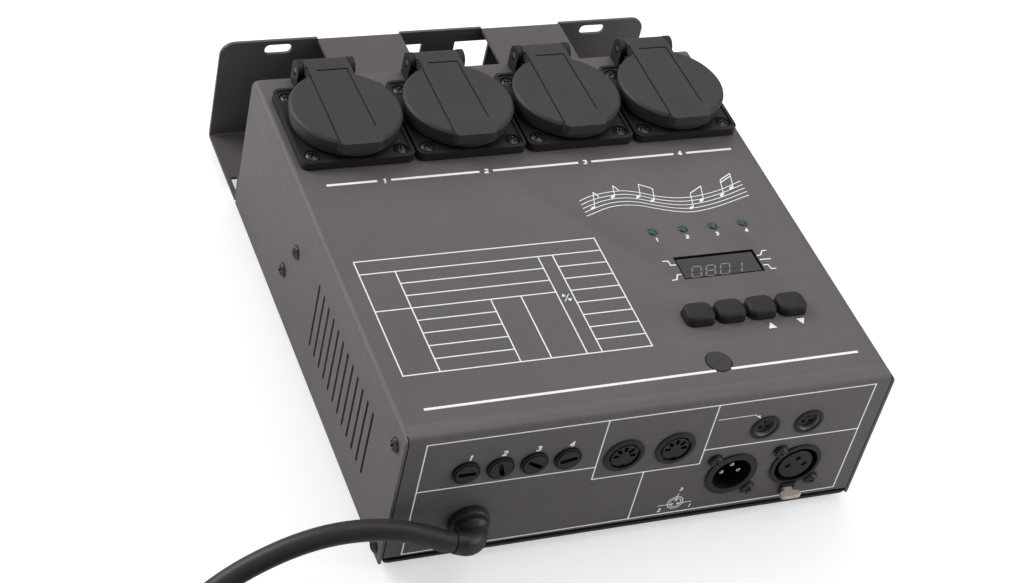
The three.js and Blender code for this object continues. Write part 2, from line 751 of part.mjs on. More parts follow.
outletPlaces.forEach((x, i) => {
  const place = [x, outletY, caseTop];
  addPiece(`socket_body_${i + 1}`, makeSocketBody().translate(place), 'socketPlastic');
  addPiece(`socket_lid_${i + 1}`, makeSocketLid().translate(place), 'lidPlastic');
  addPiece(`lid_pin_${i + 1}`, makeLidPin().translate(place), 'steel');
});

// Control panel: buttons, lamps, display and infrared eye over one board

const boardTop = topUnder - boardDrop;
const boardUnder = boardTop - boardThick;
const stemBottom = boardTop + switchSize / 2 + buttonTravel + fit;

function makeButton() {
  const cap = extruded(roundedRectangle(buttonWidth, buttonDepth, buttonCorner),
    buttonSkirt + buttonRise - buttonCrown).translate([0, 0, -buttonSkirt]);
  const crownShape = roundedRectangle(buttonWidth - 2 * buttonCrownInset, buttonDepth - 2 * buttonCrownInset,
    buttonCorner - buttonCrownInset / 2);
  const crown = solidOf(new THREE.ExtrudeGeometry(crownShape, {
    depth: fit, bevelThickness: buttonCrown - fit, bevelSize: buttonCrownInset, bevelSegments: 1,
    curveSegments: arcSteps })).translate([0, 0, buttonRise - buttonCrown]);
  const skirtCut = block([-buttonWidth, buttonWidth], [-buttonWidth, buttonWidth],
    [-buttonSkirt - overrun, buttonRise - buttonCrown - fit]);
  const lip = block([-buttonWidth / 2, buttonWidth / 2],
    [-buttonDepth / 2 - buttonLip, buttonDepth / 2 + buttonLip],
    [-buttonSkirt, buttonLipThick - buttonSkirt]);
  const stem = rod(buttonStem, stemBottom - panelTop, -buttonSkirt / 2, smallSides);
  return joined(cap, cut(crown, skirtCut), lip, stem);
}

buttonPlaces.forEach((x, i) => {
  addPiece(`button_${i + 1}`, makeButton().translate([x, buttonY, panelTop]), 'buttonPlastic');
});

function makeLamp() {
  const top = panelTop + lampRise;
  const dome = Array.from({ length: arcSteps }, (_, step) => {
    const angle = (step + 1) / arcSteps * Math.PI / 2;
    return [step + 1 === arcSteps ? 0 : lampRadius * Math.cos(angle), top + lampRadius / 2 * Math.sin(angle)];
  });
  return turned([
    [0, boardTop + fit], [lampRim, boardTop + fit], [lampRim, boardTop + fit + lampRimThick],
    [lampRadius, boardTop + fit + lampRimThick], [lampRadius, top], ...dome], smallSides);
}

lampPlaces.forEach((x, i) => {
  addPiece(`lamp_${i + 1}`, makeLamp().translate([x, lampY, 0]), 'lampLens');
});

function makeControlBoard() {
  const board = block([boardLeft, boardRight], [boardFront, boardBack], [boardUnder, boardTop]);
  const half = switchSize / 2;
  const switches = buttonPlaces.map((x) => block([x - half, x + half], [buttonY - half, buttonY + half],
    [boardUnder, boardTop + half]));
  return joined(board, ...switches);
}

addPiece('control_board', makeControlBoard(), 'board');

const windowUnder = topUnder - fit - displayLipThick;

function makeDisplayWindow() {
  const [x0, x1] = [displayLeft, displayLeft + displayWidth];
  const [y0, y1] = [displayFront, displayFront + displayDepth];
  const face = block([x0 + fit, x1 - fit], [y0 + fit, y1 - fit], [windowUnder, caseTop - displaySunk]);
  const plate = block([x0 - displayLip, x1 + displayLip], [y0 - displayLip, y1 + displayLip],
    [windowUnder, windowUnder + displayLipThick]);
  return joined(face, plate);
}

addPiece('display_window', makeDisplayWindow(), 'smokedPlastic');
addPiece('digit_module', block(
  [displayLeft + moduleInset, displayLeft + displayWidth - moduleInset],
  [displayFront - moduleInset, displayFront + displayDepth + moduleInset],
  [boardTop + fit, windowUnder - fit]), 'connectorPlastic');
addPiece('infrared_window', turned([
  [0, topUnder - fit - eyeLipThick], [eyeRadius + eyeLip, topUnder - fit - eyeLipThick],
  [eyeRadius + eyeLip, topUnder - fit], [eyeRadius - fit, topUnder - fit],
  [eyeRadius - fit, caseTop + eyeRise / 2], [eyeRadius - 2 * fit, caseTop + eyeRise],
  [0, caseTop + eyeRise]]).translate([eyeX, eyeY, 0]), 'smokedPlastic');

// Fuse holders and their caps

const holderFront = fit + fuseFlangeThick;
const seatFloor = holderFront - fuseSeat;
const capBack = seatFloor + fit;

function makeFuseHolder() {
  const body = turned([
    [0, -fuseBodyLength], [fuseBodyRadius, -fuseBodyLength], [fuseBodyRadius, fit], [fuseFlangeRadius, fit],
    [fuseFlangeRadius, holderFront], [0, holderFront]], smallSides);
  const seat = rod(fuseCapRadius + fit, seatFloor, holderFront + overrun, smallSides);
  return cut(body, seat, rod(fuseBore, -fuseStemLength - fit, holderFront + overrun, smallSides));
}

function makeFuseCap(tilt) {
  const front = capBack + fuseCapThick;
  const cap = turned([
    [0, -fuseStemLength], [fuseStem, -fuseStemLength], [fuseStem, capBack], [fuseCapRadius, capBack],
    [fuseCapRadius, front - fuseCapEdge], [fuseCapRadius - fuseCapEdge, front], [0, front]], smallSides);
  const slot = block([-fuseSlotLength / 2, fuseSlotLength / 2], [-fuseSlotWidth / 2, fuseSlotWidth / 2],
    [front - fuseSlotDepth, front + overrun]);
  return cut(cap, slot).rotate([0, 0, tilt]);
}

fusePlaces.forEach((x, i) => {
  addPiece(`fuse_holder_${i + 1}`, onPanel(makeFuseHolder(), x, fuseHeight), 'connectorPlastic');
  addPiece(`fuse_cap_${i + 1}`, onPanel(makeFuseCap(slotTilts[i]), x, fuseHeight), 'connectorPlastic');
});

// Round signal sockets

function roundSocket({ rim, bezel, rise, step, well, wellDepth, insert, insertFace, body, length, sides }) {
  return turned([
    [0, -length], [body, -length], [body, fit], [rim, fit], [rim, step], [bezel, rise], [well, rise],
    [well, -wellDepth], [insert, -wellDepth], [insert, insertFace], [0, insertFace]], sides);
}

function makeDinSocket() {
  const socket = roundSocket({
    rim: dinRim, bezel: dinBezel, rise: dinRise, step: dinStep, well: dinWell, wellDepth: dinWellDepth,
    insert: dinInsert, insertFace: dinInsertFace, body: dinBody, length: dinLength, sides: roundSides });
  const holes = Array.from({ length: dinPins }, (_, i) => {
    const angle = Math.PI * i / (dinPins - 1);
    return rod(dinPinHole, dinInsertFace - dinPinDepth, dinInsertFace + overrun, pinSides)
      .translate([dinPinCircle * Math.cos(angle), dinPinCircle * Math.sin(angle), 0]);
  });
  const key = block([-dinKeyWidth / 2, dinKeyWidth / 2], [-dinInsert - fit, dinKeyDepth - dinInsert],
    [dinInsertFace - dinPinDepth, dinInsertFace + overrun]);
  return cut(socket, ...holes, key);
}

function makeLinkSocket() {
  const socket = roundSocket({
    rim: linkRim, bezel: linkBezel, rise: linkRise, step: linkStep, well: linkWell, wellDepth: linkWellDepth,
    insert: linkInsert, insertFace: linkInsertFace, body: linkBody, length: linkLength, sides: smallSides });
  const holes = Array.from({ length: linkPins }, (_, i) => {
    const angle = Math.PI / 2 + 2 * Math.PI * i / linkPins;
    return rod(linkPinHole, linkInsertFace - linkWellDepth, linkInsertFace + overrun, pinSides)
      .translate([linkPinCircle * Math.cos(angle), linkPinCircle * Math.sin(angle), 0]);
  });
  return cut(socket, ...holes);
}

['din_in_socket', 'din_thru_socket'].forEach((name, i) => {
  addPiece(name, onPanel(makeDinSocket(), dinFirst + i * dinPitch, dinHeight), 'connectorPlastic');
});
['link_in_socket', 'link_out_socket'].forEach((name, i) => {
  addPiece(name, onPanel(makeLinkSocket(), linkFirst + i * linkPitch, linkHeight), 'connectorPlastic');
});

// Large three-pole sockets and the latch

const polePlaces = [0, 1, 2].map((quarter) => Math.PI * quarter / 2);

function poleEars() {
  return [1, -1].map((side) => rod(earRound, fit, earPlate, smallSides)
    .translate([-side * earReach, side * earReach, 0]));
}

function makePlugSocket() {
  const shell = turned([
    [0, -poleLength], [poleBody, -poleLength], [poleBody, fit], [poleRim, fit], [poleRim, poleStep],
    [poleBezel, poleRise], [poleWell, poleRise], [poleWell, -poleWellDepth], [0, -poleWellDepth]]);
  const pins = polePlaces.map((angle) => rod(polePin, -poleWellDepth - polePin, -polePinSunk, pinSides)
    .translate([poleCircle * Math.cos(angle), poleCircle * Math.sin(angle), 0]));
  return joined(shell, ...poleEars(), ...pins);
}

function makeHoleSocket() {
  const shell = turned([
    [0, -poleLength], [poleBody, -poleLength], [poleBody, fit], [poleRim, fit], [poleRim, poleStep],
    [poleBezel, poleRise], [poleRing, poleRise], [poleRing, -poleWellDepth], [poleInsert, -poleWellDepth],
    [poleInsert, poleInsertFace], [0, poleInsertFace]]);
  const holes = polePlaces.map((angle) => rod(poleHole, poleInsertFace - poleHoleDepth,
    poleInsertFace + overrun, pinSides)
    .translate([poleCircle * Math.cos(angle), poleCircle * Math.sin(angle), 0]));
  const slotBottom = -latchDrop - latchThick - fit;
  const shelf = block([-latchNeck - latchShelf, latchNeck + latchShelf],
    [slotBottom - latchShelf, -poleRing - fit], [fit, earPlate]);
  const slot = block([-latchNeck - fit, latchNeck + fit], [slotBottom, fit - latchDrop],
    [-poleLength, earPlate + overrun]);
  return cut(joined(shell, ...poleEars(), shelf), ...holes, slot);
}

function makeLatch() {
  const headMiddle = latchHead / 2 - latchReach;
  const head = extruded(roundedRectangle(2 * latchHalf, latchHead, latchCorner), latchThick)
    .translate([0, headMiddle, 0]);
  const tail = block([-latchNeck, latchNeck], [headMiddle, latchReach + latchInside], [0, latchThick]);
  return joined(head, tail).translate([holeSocketX, 0, footHeight + poleHeight - latchDrop - latchThick]);
}

addPiece('control_in_socket', onPanel(makePlugSocket(), plugSocketX, poleHeight), 'connectorPlastic');
addPiece('control_out_socket', onPanel(makeHoleSocket(), holeSocketX, poleHeight), 'connectorPlastic');
addPiece('release_latch', makeLatch(), 'steel');

// Strain relief: a bell on the panel, an elbow and a sleeve, and the nut inside

const raised = ([x, y, z]) => new THREE.Vector3(x, y, footHeight + z);
const elbow = raised([reliefX, -elbowReach, reliefZ]);
const sleeveStop = raised(sleeveEnd);
const sleeveWay = sleeveStop.clone().sub(elbow).normalize();

// Turns a solid that was drawn along +Z so that it runs the given way from a point.
function aimed(solid, from, way) {
  const turn = new THREE.Quaternion().setFromUnitVectors(new THREE.Vector3(0, 0, 1), way);
  const matrix = new THREE.Matrix4().compose(from, turn, new THREE.Vector3(1, 1, 1));
  return solid.transform(matrix.elements);
}

function makeStrainRelief() {
  const bell = turned([
    [0, -bellInside], [bellBody, -bellInside], [bellBody, fit], [bellFlange, fit],
    [bellFlange, bellFlangeThick], [bellWaist, bellFlangeThick + fit], [elbowRadius, bellLength],
    [elbowRadius, elbowReach], [0, elbowReach]], smallSides);
  const ball = new THREE.SphereGeometry(elbowRadius, smallSides, smallSides / 2);
  ball.translate(...elbow.toArray());
  const sleeve = turned([
    [0, 0], [sleeveRadius, 0], [sleeveTip, elbow.distanceTo(sleeveStop)],
    [0, elbow.distanceTo(sleeveStop)]], smallSides);
  return joined(onPanel(bell, reliefX, reliefZ), solidOf(ball), aimed(sleeve, elbow, sleeveWay));
}

function makeNut() {
  const ring = rod(nutRadius, -coverSheet - fit - nutThick, -coverSheet - fit, nutSides);
  const bore = rod(bellBody + fit, -overrun - nutThick - coverSheet, overrun);
  return onPanel(cut(ring, bore), reliefX, reliefZ);
}

addPiece('strain_relief', makeStrainRelief(), 'rubber');
addPiece('strain_relief_nut', makeNut(), 'connectorPlastic');

// Mains lead: the coil's lower layer winds in, it climbs in the half turn where the spiral turns
// back, and its upper layer winds out again and rises to the plug. Both ends run straight.

const halfTurns = coilTurns / 2;
const straightShare = cordDiameter / (2 * Math.PI * coilRadius);
const plugAxis = plugFace + fit;

function coilPoint(turns) {
  const inward = Math.min(turns, coilTurns - turns);
  const radius = coilRadius + coilStep * (halfTurns / 2 - inward);
  const climb = coilClimb * THREE.MathUtils.smoothstep(
    turns, halfTurns - climbTurns / 2, halfTurns + climbTurns / 2);
  const upperLayer = cordDiameter / 2 + coilClimb;
  const rise = (plugAxis - upperLayer) * THREE.MathUtils.smoothstep(turns, coilTurns - climbTurns, coilTurns);
  const angle = 2 * Math.PI * (coilStartShare + turns);
  return new THREE.Vector3(
    coilCentreX + radius * Math.cos(angle), coilCentreY + radius * Math.sin(angle),
    cordDiameter / 2 + climb + rise);
}

// The way that the coil runs at one of its ends.
function coilWay(turns, side) {
  const inside = coilPoint(turns - side * straightShare / coilSteps);
  return coilPoint(turns).sub(inside).multiplyScalar(side).setZ(0).normalize();
}

const coilStartWay = coilWay(0, -1);
const coilEndWay = coilWay(coilTurns, 1);
const coilStart = coilPoint(0).addScaledVector(coilStartWay, -cordDiameter);
const coilEnd = coilPoint(coilTurns).addScaledVector(coilEndWay, cordDiameter);

function coilCentres() {
  const steps = Math.round(coilTurns * coilSteps);
  const wound = Array.from({ length: steps + 1 }, (_, i) => {
    const turns = coilTurns * i / steps;
    const angle = 2 * Math.PI * (coilStartShare + turns);
    return { centre: coilPoint(turns), outward: new THREE.Vector3(Math.cos(angle), Math.sin(angle), 0) };
  });
  const [first, last] = [wound[0], wound[steps]];
  const across = (way) => new THREE.Vector3(way.y, -way.x, 0);
  first.outward = across(coilStartWay);
  last.outward = across(coilEndWay);
  return [
    { centre: coilStart, outward: first.outward }, ...wound, { centre: coilEnd, outward: last.outward }];
}

// A tube with a ring of points round every centre, closed at both ends.
function ringTube(centres, radius, sides) {
  const up = new THREE.Vector3(0, 0, 1);
  const points = centres.flatMap(({ centre, outward }) => Array.from({ length: sides }, (_, i) => {
    const angle = 2 * Math.PI * (i + 0.5) / sides;
    const point = centre.clone().addScaledVector(outward, radius * Math.cos(angle));
    return point.addScaledVector(up, radius * Math.sin(angle));
  }));
  const faces = [];
  for (let ring = 0; ring < centres.length - 1; ring += 1) {
    for (let side = 0; side < sides; side += 1) {
      const [a, b] = [ring * sides + side, ring * sides + (side + 1) % sides];
      faces.push(a, a + sides, b, b, a + sides, b + sides);
    }
  }
  const end = (centres.length - 1) * sides;
  for (let side = 1; side < sides - 1; side += 1) {
    faces.push(0, side, side + 1, end, end + side + 1, end + side);
  }
  const geometry = new THREE.BufferGeometry().setFromPoints(points);
  geometry.setIndex(faces);
  return solidOf(geometry);
}

// The least gap between stretches of the coil that are more than a quarter of a turn apart.
function leastCoilGap() {
  const fine = Math.round(coilTurns * coilSteps * coilSides);
  const points = Array.from({ length: fine + 1 }, (_, i) => coilPoint(coilTurns * i / fine));
  const apart = coilSteps * coilSides / 4;
  return points.reduce((least, point, i) => points.slice(i + apart).reduce(
    (gap, other) => Math.min(gap, point.distanceTo(other) - cordDiameter), least), Infinity);
}

console.log(`Least gap between the coil's turns: ${leastCoilGap().toFixed(2)} mm`);
addPiece('cord_coil', ringTube(coilCentres(), cordDiameter / 2, coilSides), 'rubber');

function makeCord() {
  const start = sleeveStop.clone().addScaledVector(sleeveWay, fit);
  const stop = coilStart.clone().addScaledVector(coilStartWay, -fit);
  const curve = new THREE.CatmullRomCurve3([
    start, start.clone().addScaledVector(sleeveWay, cordDiameter / 2), ...cordRoute.map(raised),
    stop.clone().addScaledVector(coilStartWay, -cordDiameter), stop]);
  const section = new THREE.Shape(Array.from({ length: cordSides }, (_, i) => {
    const angle = 2 * Math.PI * i / cordSides;
    return new THREE.Vector2(Math.cos(angle), Math.sin(angle)).multiplyScalar(cordDiameter / 2);
  }));
  return solidOf(new THREE.ExtrudeGeometry(section, {
    steps: cordSteps, bevelEnabled: false, extrudePath: curve }));
}

addPiece('power_cord', makeCord(), 'rubber');

function makePlug() {
  const face = plugTail + plugGrip + plugDepth;
  const body = turned([
    [0, 0], [plugNeck, 0], [plugShoulder / 2, plugTail], [plugShoulder, plugTail + plugNeck],
    [plugShoulder, plugTail + plugGrip], [plugFace, plugTail + plugGrip + plugNeck], [plugFace, face],
    [0, face]]);
  const pins = [-plugPinSpread, plugPinSpread].map((y) => rod(plugPin, face - plugPin, face + plugPinLength,
    smallSides).translate([0, y, 0]));
  const notches = [0, 1].map((end) => block(
    [plugFace - plugPin, plugFace + overrun], [-plugPin, plugPin], [face - plugGrip, face + overrun])
    .rotate([0, 0, 2 * quarterTurn * end]));
  return cut(joined(body, ...pins), ...notches);
}

const plugStart = coilEnd.clone().addScaledVector(coilEndWay, fit);
addPiece('mains_plug', aimed(makePlug(), plugStart, coilEndWay), 'rubber');

// Inside: the main board and what stands on it

const mainUnder = trayTop + standoff + fit;
const mainTop = mainUnder + boardThick;
const onBoard = mainTop + fit;

addPiece('main_board', block([mainLeft, mainRight], [mainFront, mainBack], [mainUnder, mainTop]), 'board');

function makeTransformer() {
  const core = block([-coreWidth / 2, coreWidth / 2], [-coreDepth / 2, coreDepth / 2],
    [onBoard, onBoard + coreHeight]);
  const bobbin = block([-coreWidth / 4, coreWidth / 4],
    [-coreDepth / 2 - coreBobbin, coreDepth / 2 + coreBobbin],
    [onBoard + coreBobbin, onBoard + coreHeight - coreBobbin]);
  return joined(core, bobbin).translate([coreX, coreY, 0]);
}

addPiece('transformer', makeTransformer(), 'steel');

function makeHeatSink() {
  const base = block([0, sinkLength], [0, (finCount - 1) * finPitch + finThick], [0, sinkBase]);
  const fins = placesOf(finCount, 0, finPitch).map((y) => block(
    [0, sinkLength], [y, y + finThick], [sinkBase / 2, sinkHeight]));
  return joined(base, ...fins).translate([sinkLeft, sinkFront, onBoard]);
}

addPiece('heat_sink', makeHeatSink(), 'aluminium');

function makeChoke() {
  const circle = Array.from({ length: chokeSides + 1 }, (_, i) => {
    const angle = 2 * Math.PI * (i % chokeSides) / chokeSides;
    return [chokeRing + chokeTube * Math.cos(angle), chokeTube * Math.sin(angle)];
  });
  return turned(circle, smallSides).translate([0, 0, onBoard + chokeTube]);
}

placesOf(chokeCount, chokeFirst, chokePitch).forEach((x, i) => {
  addPiece(`choke_${i + 1}`, makeChoke().translate([x, chokeY, 0]), 'copper');
});

function makeTerminalBlock() {
  const body = block([-blockLength / 2, blockLength / 2], [-blockDepth / 2, blockDepth / 2],
    [onBoard, onBoard + blockHeight]);
  const pitch = blockLength / blockPoles;
  const holes = placesOf(blockPoles, (pitch - blockLength) / 2, pitch).map((x) => rod(
    pitch / 3, onBoard + blockHeight / 2, onBoard + blockHeight + overrun, pinSides).translate([x, 0, 0]));
  return cut(body, ...holes).translate([blockX, blockY, 0]);
}

addPiece('terminal_block', makeTerminalBlock(), 'connectorPlastic');

// The whole stands in the middle of its own box, which runs from the latch to the bracket.

const frontReach = elbowReach + elbowRadius;
const backReach = caseDepth + bracketReach;
pieces.position.set(-caseWidth / 2, -(backReach - frontReach) / 2, 0);

const part = new THREE.Group();
part.add(pieces);

export default part;
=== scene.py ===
"""Blender look of a four-channel dimmer pack.

Lengths are in millimetres from the case's lower, left, front corner: x runs to the right, y to the
back and z up. The corner comes from the frame's own box of the cover, and everything is at rest.
"""
import json
import logging
import math
from dataclasses import dataclass, field
from enum import Enum
from typing import Iterable, Sequence

import bmesh
import bpy
from mathutils import Matrix, Vector

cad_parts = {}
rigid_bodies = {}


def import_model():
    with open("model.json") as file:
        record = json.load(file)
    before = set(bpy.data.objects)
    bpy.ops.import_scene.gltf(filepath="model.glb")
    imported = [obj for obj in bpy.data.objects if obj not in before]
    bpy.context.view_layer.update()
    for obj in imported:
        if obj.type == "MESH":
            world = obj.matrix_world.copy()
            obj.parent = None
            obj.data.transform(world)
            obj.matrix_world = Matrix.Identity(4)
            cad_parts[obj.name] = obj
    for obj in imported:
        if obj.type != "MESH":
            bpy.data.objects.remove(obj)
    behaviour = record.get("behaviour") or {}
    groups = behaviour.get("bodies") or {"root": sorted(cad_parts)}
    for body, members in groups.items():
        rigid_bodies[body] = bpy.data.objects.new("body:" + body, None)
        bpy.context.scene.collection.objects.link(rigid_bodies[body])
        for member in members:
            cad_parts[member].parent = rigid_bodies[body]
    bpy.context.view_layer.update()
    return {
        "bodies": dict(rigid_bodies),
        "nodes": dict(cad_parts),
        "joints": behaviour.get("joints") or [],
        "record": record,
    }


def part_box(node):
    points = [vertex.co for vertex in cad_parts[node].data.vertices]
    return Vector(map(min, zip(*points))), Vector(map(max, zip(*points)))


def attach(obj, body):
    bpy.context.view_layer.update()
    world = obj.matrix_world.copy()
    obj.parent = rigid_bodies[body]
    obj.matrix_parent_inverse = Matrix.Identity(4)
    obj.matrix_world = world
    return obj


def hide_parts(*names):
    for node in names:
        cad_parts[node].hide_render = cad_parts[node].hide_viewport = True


LOG = logging.getLogger("dimmer_pack")
METRE = 1000.0
Point2 = tuple[float, float]
Point3 = tuple[float, float, float]
Line2 = tuple[Point2, ...]
Row = tuple[float, ...]
# Gap between pieces that meet, and how far a cutting shell sticks out of what it cuts.
FIT = 0.3
CLEAR = 5.0
# The signs of the left and the right side.
SIDES = (-1, 1)


class Body(Enum):
    """The moving bodies of the frame, named as its joints name them."""

    CASE = "case"
    LID = "lid_{}"
    KEY = "key_{}"
    CAP = "cap_{}"
    LATCH = "latch"

    def numbered(self, number: int) -> str:
        """Returns the body's name with its number."""
        return self.value.format(number)


class Facing(Enum):
    """Which way a piece drawn upright looks once it is in place."""

    FRONT = Matrix.Rotation(math.pi / 2, 4, "X")
    LEFT = Matrix.Rotation(-math.pi / 2, 4, "Z") @ Matrix.Rotation(math.pi / 2, 4, "X")
    RIGHT = Matrix.Rotation(math.pi / 2, 4, "Z") @ Matrix.Rotation(math.pi / 2, 4, "X")

    def at(self, x: float, y: float, z: float) -> Matrix:
        """Returns the placing matrix for a point of the case."""
        return Matrix.Translation((x, y, z)) @ self.value


@dataclass(frozen=True)
class CaseSpace:
    """The case's own millimetre space inside the frame's metres.

    Args:
        corner: The case's lower, left, front corner in metres.
        size: Width, depth and height of the case in millimetres.
        floor: Height of the floor in the case's millimetres.
    """

    corner: Vector
    size: Vector
    floor: float

    @classmethod
    def from_frame(cls) -> "CaseSpace":
        """Reads the case's place and size from the frame."""
        low, high = (Vector(corner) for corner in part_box("cover"))
        return cls(low, (high - low) * METRE, -low.z * METRE)

    def matrix(self) -> Matrix:
        """Returns the matrix from the case's millimetres to the frame's metres."""
        return Matrix.Translation(self.corner) @ Matrix.Scale(1 / METRE, 4)

    def metres(self, point: Iterable[float]) -> Vector:
        """Returns a point of the case in the frame's metres."""
        return self.matrix() @ Vector(point)


# Where a piece that was drawn in its place stands.
HERE = Matrix.Identity(4)
# Lays a raised outline along x: what was drawn as x and y becomes y and z.
ALONG_X = Matrix(((0, 0, 1, 0), (1, 0, 0, 0), (0, 1, 0, 0), (0, 0, 0, 1)))


def shift(x: float, y: float, z: float) -> Matrix:
    """Returns the matrix that moves a shell."""
    return Matrix.Translation((x, y, z))


def spin(degrees: float) -> Matrix:
    """Returns the matrix that turns a shell about the upright axis."""
    return Matrix.Rotation(math.radians(degrees), 4, "Z")


class Change(Enum):
    """What a step does to a piece."""

    JOIN = "UNION"
    CUT = "DIFFERENCE"


# Shells


@dataclass(frozen=True)
class Shell:
    """A surface as points in millimetres and faces of point numbers."""

    points: tuple[Vector, ...]
    faces: tuple[tuple[int, ...], ...]

    def moved(self, matrix: Matrix) -> "Shell":
        """Returns the shell carried by a matrix."""
        return Shell(tuple(matrix @ point for point in self.points), self.faces)

    def __add__(self, other: "Shell") -> "Shell":
        """Returns both shells as one."""
        faces = tuple(tuple(index + len(self.points) for index in face) for face in other.faces)
        return Shell(self.points + other.points, self.faces + faces)


def together(shells: Iterable[Shell]) -> Shell:
    """Returns many shells as one.

    Args:
        shells: The shells.

    Returns:
        One shell that holds all their faces.
    """
    whole = Shell((), ())
    for shell in shells:
        whole = whole + shell
    return whole


def prism(outline: Sequence[Point2], low: float, high: float) -> Shell:
    """Draws an outline on the floor plane and raises it.

    Args:
        outline: The outline's points, counter-clockwise.
        low: Height of the lower face.
        high: Height of the upper face.

    Returns:
        The closed prism.
    """
    count = len(outline)
    points = tuple(Vector((x, y, z)) for z in (low, high) for x, y in outline)
    walls = tuple((i, (i + 1) % count, count + (i + 1) % count, count + i) for i in range(count))
    caps = (tuple(reversed(range(count))), tuple(range(count, 2 * count)))
    return Shell(points, walls + caps)


def lathe(profile: Sequence[Point2], segments: int = 64, is_ring: bool = False) -> Shell:
    """Turns a profile of radius and height about the upright axis.

    Args:
        profile: Radius and height of each point, from one end on the axis to the other.
        segments: Number of segments round the axis.
        is_ring: Whether the profile is a loop that stays clear of the axis.

    Returns:
        The turned shell, with a single point where the profile meets the axis.
    """
    points: list[Vector] = []
    rings: list[list[int]] = []
    for radius, height in profile:
        sides = segments if radius > 0 else 1
        ring = [len(points) + i for i in range(sides)]
        angles = (2 * math.pi * i / segments for i in range(sides))
        points += [Vector((radius * math.cos(a), radius * math.sin(a), height)) for a in angles]
        rings.append(ring * (segments // sides))
    faces: list[tuple[int, ...]] = []
    for lower, upper in zip(rings, rings[1:] + rings[:1] if is_ring else rings[1:]):
        for i in range(segments):
            j = (i + 1) % segments
            corners = (lower[i], lower[j], upper[j], upper[i])
            face = tuple(dict.fromkeys(corners))
            if len(face) > 2:
                faces.append(face)
    return Shell(tuple(points), tuple(faces))


def arc(centre: Point2, radius: float, start: float, stop: float, steps: int = 6) -> list[Point2]:
    """Draws an arc.

    Args:
        centre: The arc's centre.
        radius: The arc's radius.
        start: First angle in degrees.
        stop: Last angle in degrees.
        steps: Number of steps between them.

    Returns:
        The arc's points.
    """
    angles = (math.radians(start + (stop - start) * i / steps) for i in range(steps + 1))
    return [(centre[0] + radius * math.cos(a), centre[1] + radius * math.sin(a)) for a in angles]


def rounded(width: float, depth: float, radius: float, steps: int = 6) -> list[Point2]:
    """Draws a rectangle with round corners, about its middle.

    Args:
        width: Size along x.
        depth: Size along y.
        radius: Radius of the corners.
        steps: Steps in each corner.

    Returns:
        The outline's points, counter-clockwise.
    """
    x, y = width / 2 - radius, depth / 2 - radius
    corners = ((x, y, 0), (-x, y, 90), (-x, -y, 180), (x, -y, 270))
    return [p for cx, cy, a in corners for p in arc((cx, cy), radius, a, a + 90, steps)]


def shifted(outline: Sequence[Point2], x: float, y: float) -> list[Point2]:
    """Returns an outline moved on its plane."""
    return [(px + x, py + y) for px, py in outline]


def disc(radius: float, low: float, high: float, x: float = 0.0, y: float = 0.0,
         sides: int = 48) -> Shell:
    """Draws an upright round rod.

    Args:
        radius: The rod's radius.
        low: Height of the lower face.
        high: Height of the upper face.
        x: Place of the axis.
        y: Place of the axis.
        sides: Number of sides.

    Returns:
        The closed rod.
    """
    return prism(arc((x, y), radius, 0, 360 * (sides - 1) / sides, sides - 1), low, high)


def slab(width: float, depth: float, low: float, high: float, x: float = 0.0, y: float = 0.0) -> Shell:
    """Returns a plain rectangular solid about an upright axis, mostly for cuts."""
    half, deep = width / 2, depth / 2
    return prism(shifted([(-half, -deep), (half, -deep), (half, deep), (-half, deep)], x, y), low, high)


def block(low: Point3, high: Point3) -> Shell:
    """Returns a plain rectangular solid between two corners."""
    (x0, y0, z0), (x1, y1, z1) = low, high
    return prism([(x0, y0), (x1, y0), (x1, y1), (x0, y1)], z0, z1)


def skins(rings: int, sides: int) -> list[tuple[int, ...]]:
    """Numbers the faces between rings of points, and the two that close the ends.

    Args:
        rings: Number of rings.
        sides: Number of points in each ring.

    Returns:
        The faces, as point numbers.
    """
    last = (rings - 1) * sides
    walls = [(i + k, i + (k + 1) % sides, i + sides + (k + 1) % sides, i + sides + k)
             for i in range(0, last, sides) for k in range(sides)]
    return [*walls, tuple(reversed(range(sides))), tuple(range(last, last + sides))]


def lofted(rings: Sequence[Sequence[Vector]]) -> Shell:
    """Returns a shell over rings of points, which all have the same count."""
    return Shell(tuple(point for ring in rings for point in ring), tuple(skins(len(rings), len(rings[0]))))


def ribbon(points: Sequence[Point2], width: float, low: float, high: float) -> Shell:
    """Draws a flat band along a line, with mitred corners.

    Args:
        points: The line's points.
        width: The band's width.
        low: Height of its underside.
        high: Height of its top.

    Returns:
        The closed band.
    """
    line = [Vector(point) for point in points]
    ways = [(b - a).normalized() for a, b in zip(line, line[1:])]
    left: list[Point2] = []
    right: list[Point2] = []
    for i, point in enumerate(line):
        before, after = ways[max(0, i - 1)], ways[min(i, len(ways) - 1)]
        middle = (before + after).normalized()
        reach = width / 2 / max(0.5, middle.dot(after))
        side = Vector((-middle.y, middle.x)) * reach
        left.append(tuple(point + side))
        right.append(tuple(point - side))
    count = len(left)
    top = 2 * count
    points3 = [Vector((x, y, z)) for z in (low, high) for x, y in left + right]
    faces: list[tuple[int, ...]] = []
    for a in range(count - 1):
        b, c, d = a + 1, count + a + 1, count + a
        faces += [(a, b, c, d), (d + top, c + top, b + top, a + top),
                  (b, a, a + top, b + top), (d, c, c + top, d + top)]
    faces += [(a, b, b + top, a + top) for a, b in ((0, count), (top - 1, count - 1))]
    return Shell(tuple(points3), tuple(faces))


def rounded_corner(radius: float) -> Shell:
    """Returns what rounds off a plate's upper left corner, which is at the origin, across y."""
    outline = [(-CLEAR, CLEAR), (-CLEAR, -radius), *arc((radius, -radius), radius, 180, 90, 12),
               (radius, CLEAR)]
    return prism(outline, -CLEAR, CLEAR).moved(Facing.FRONT.value)


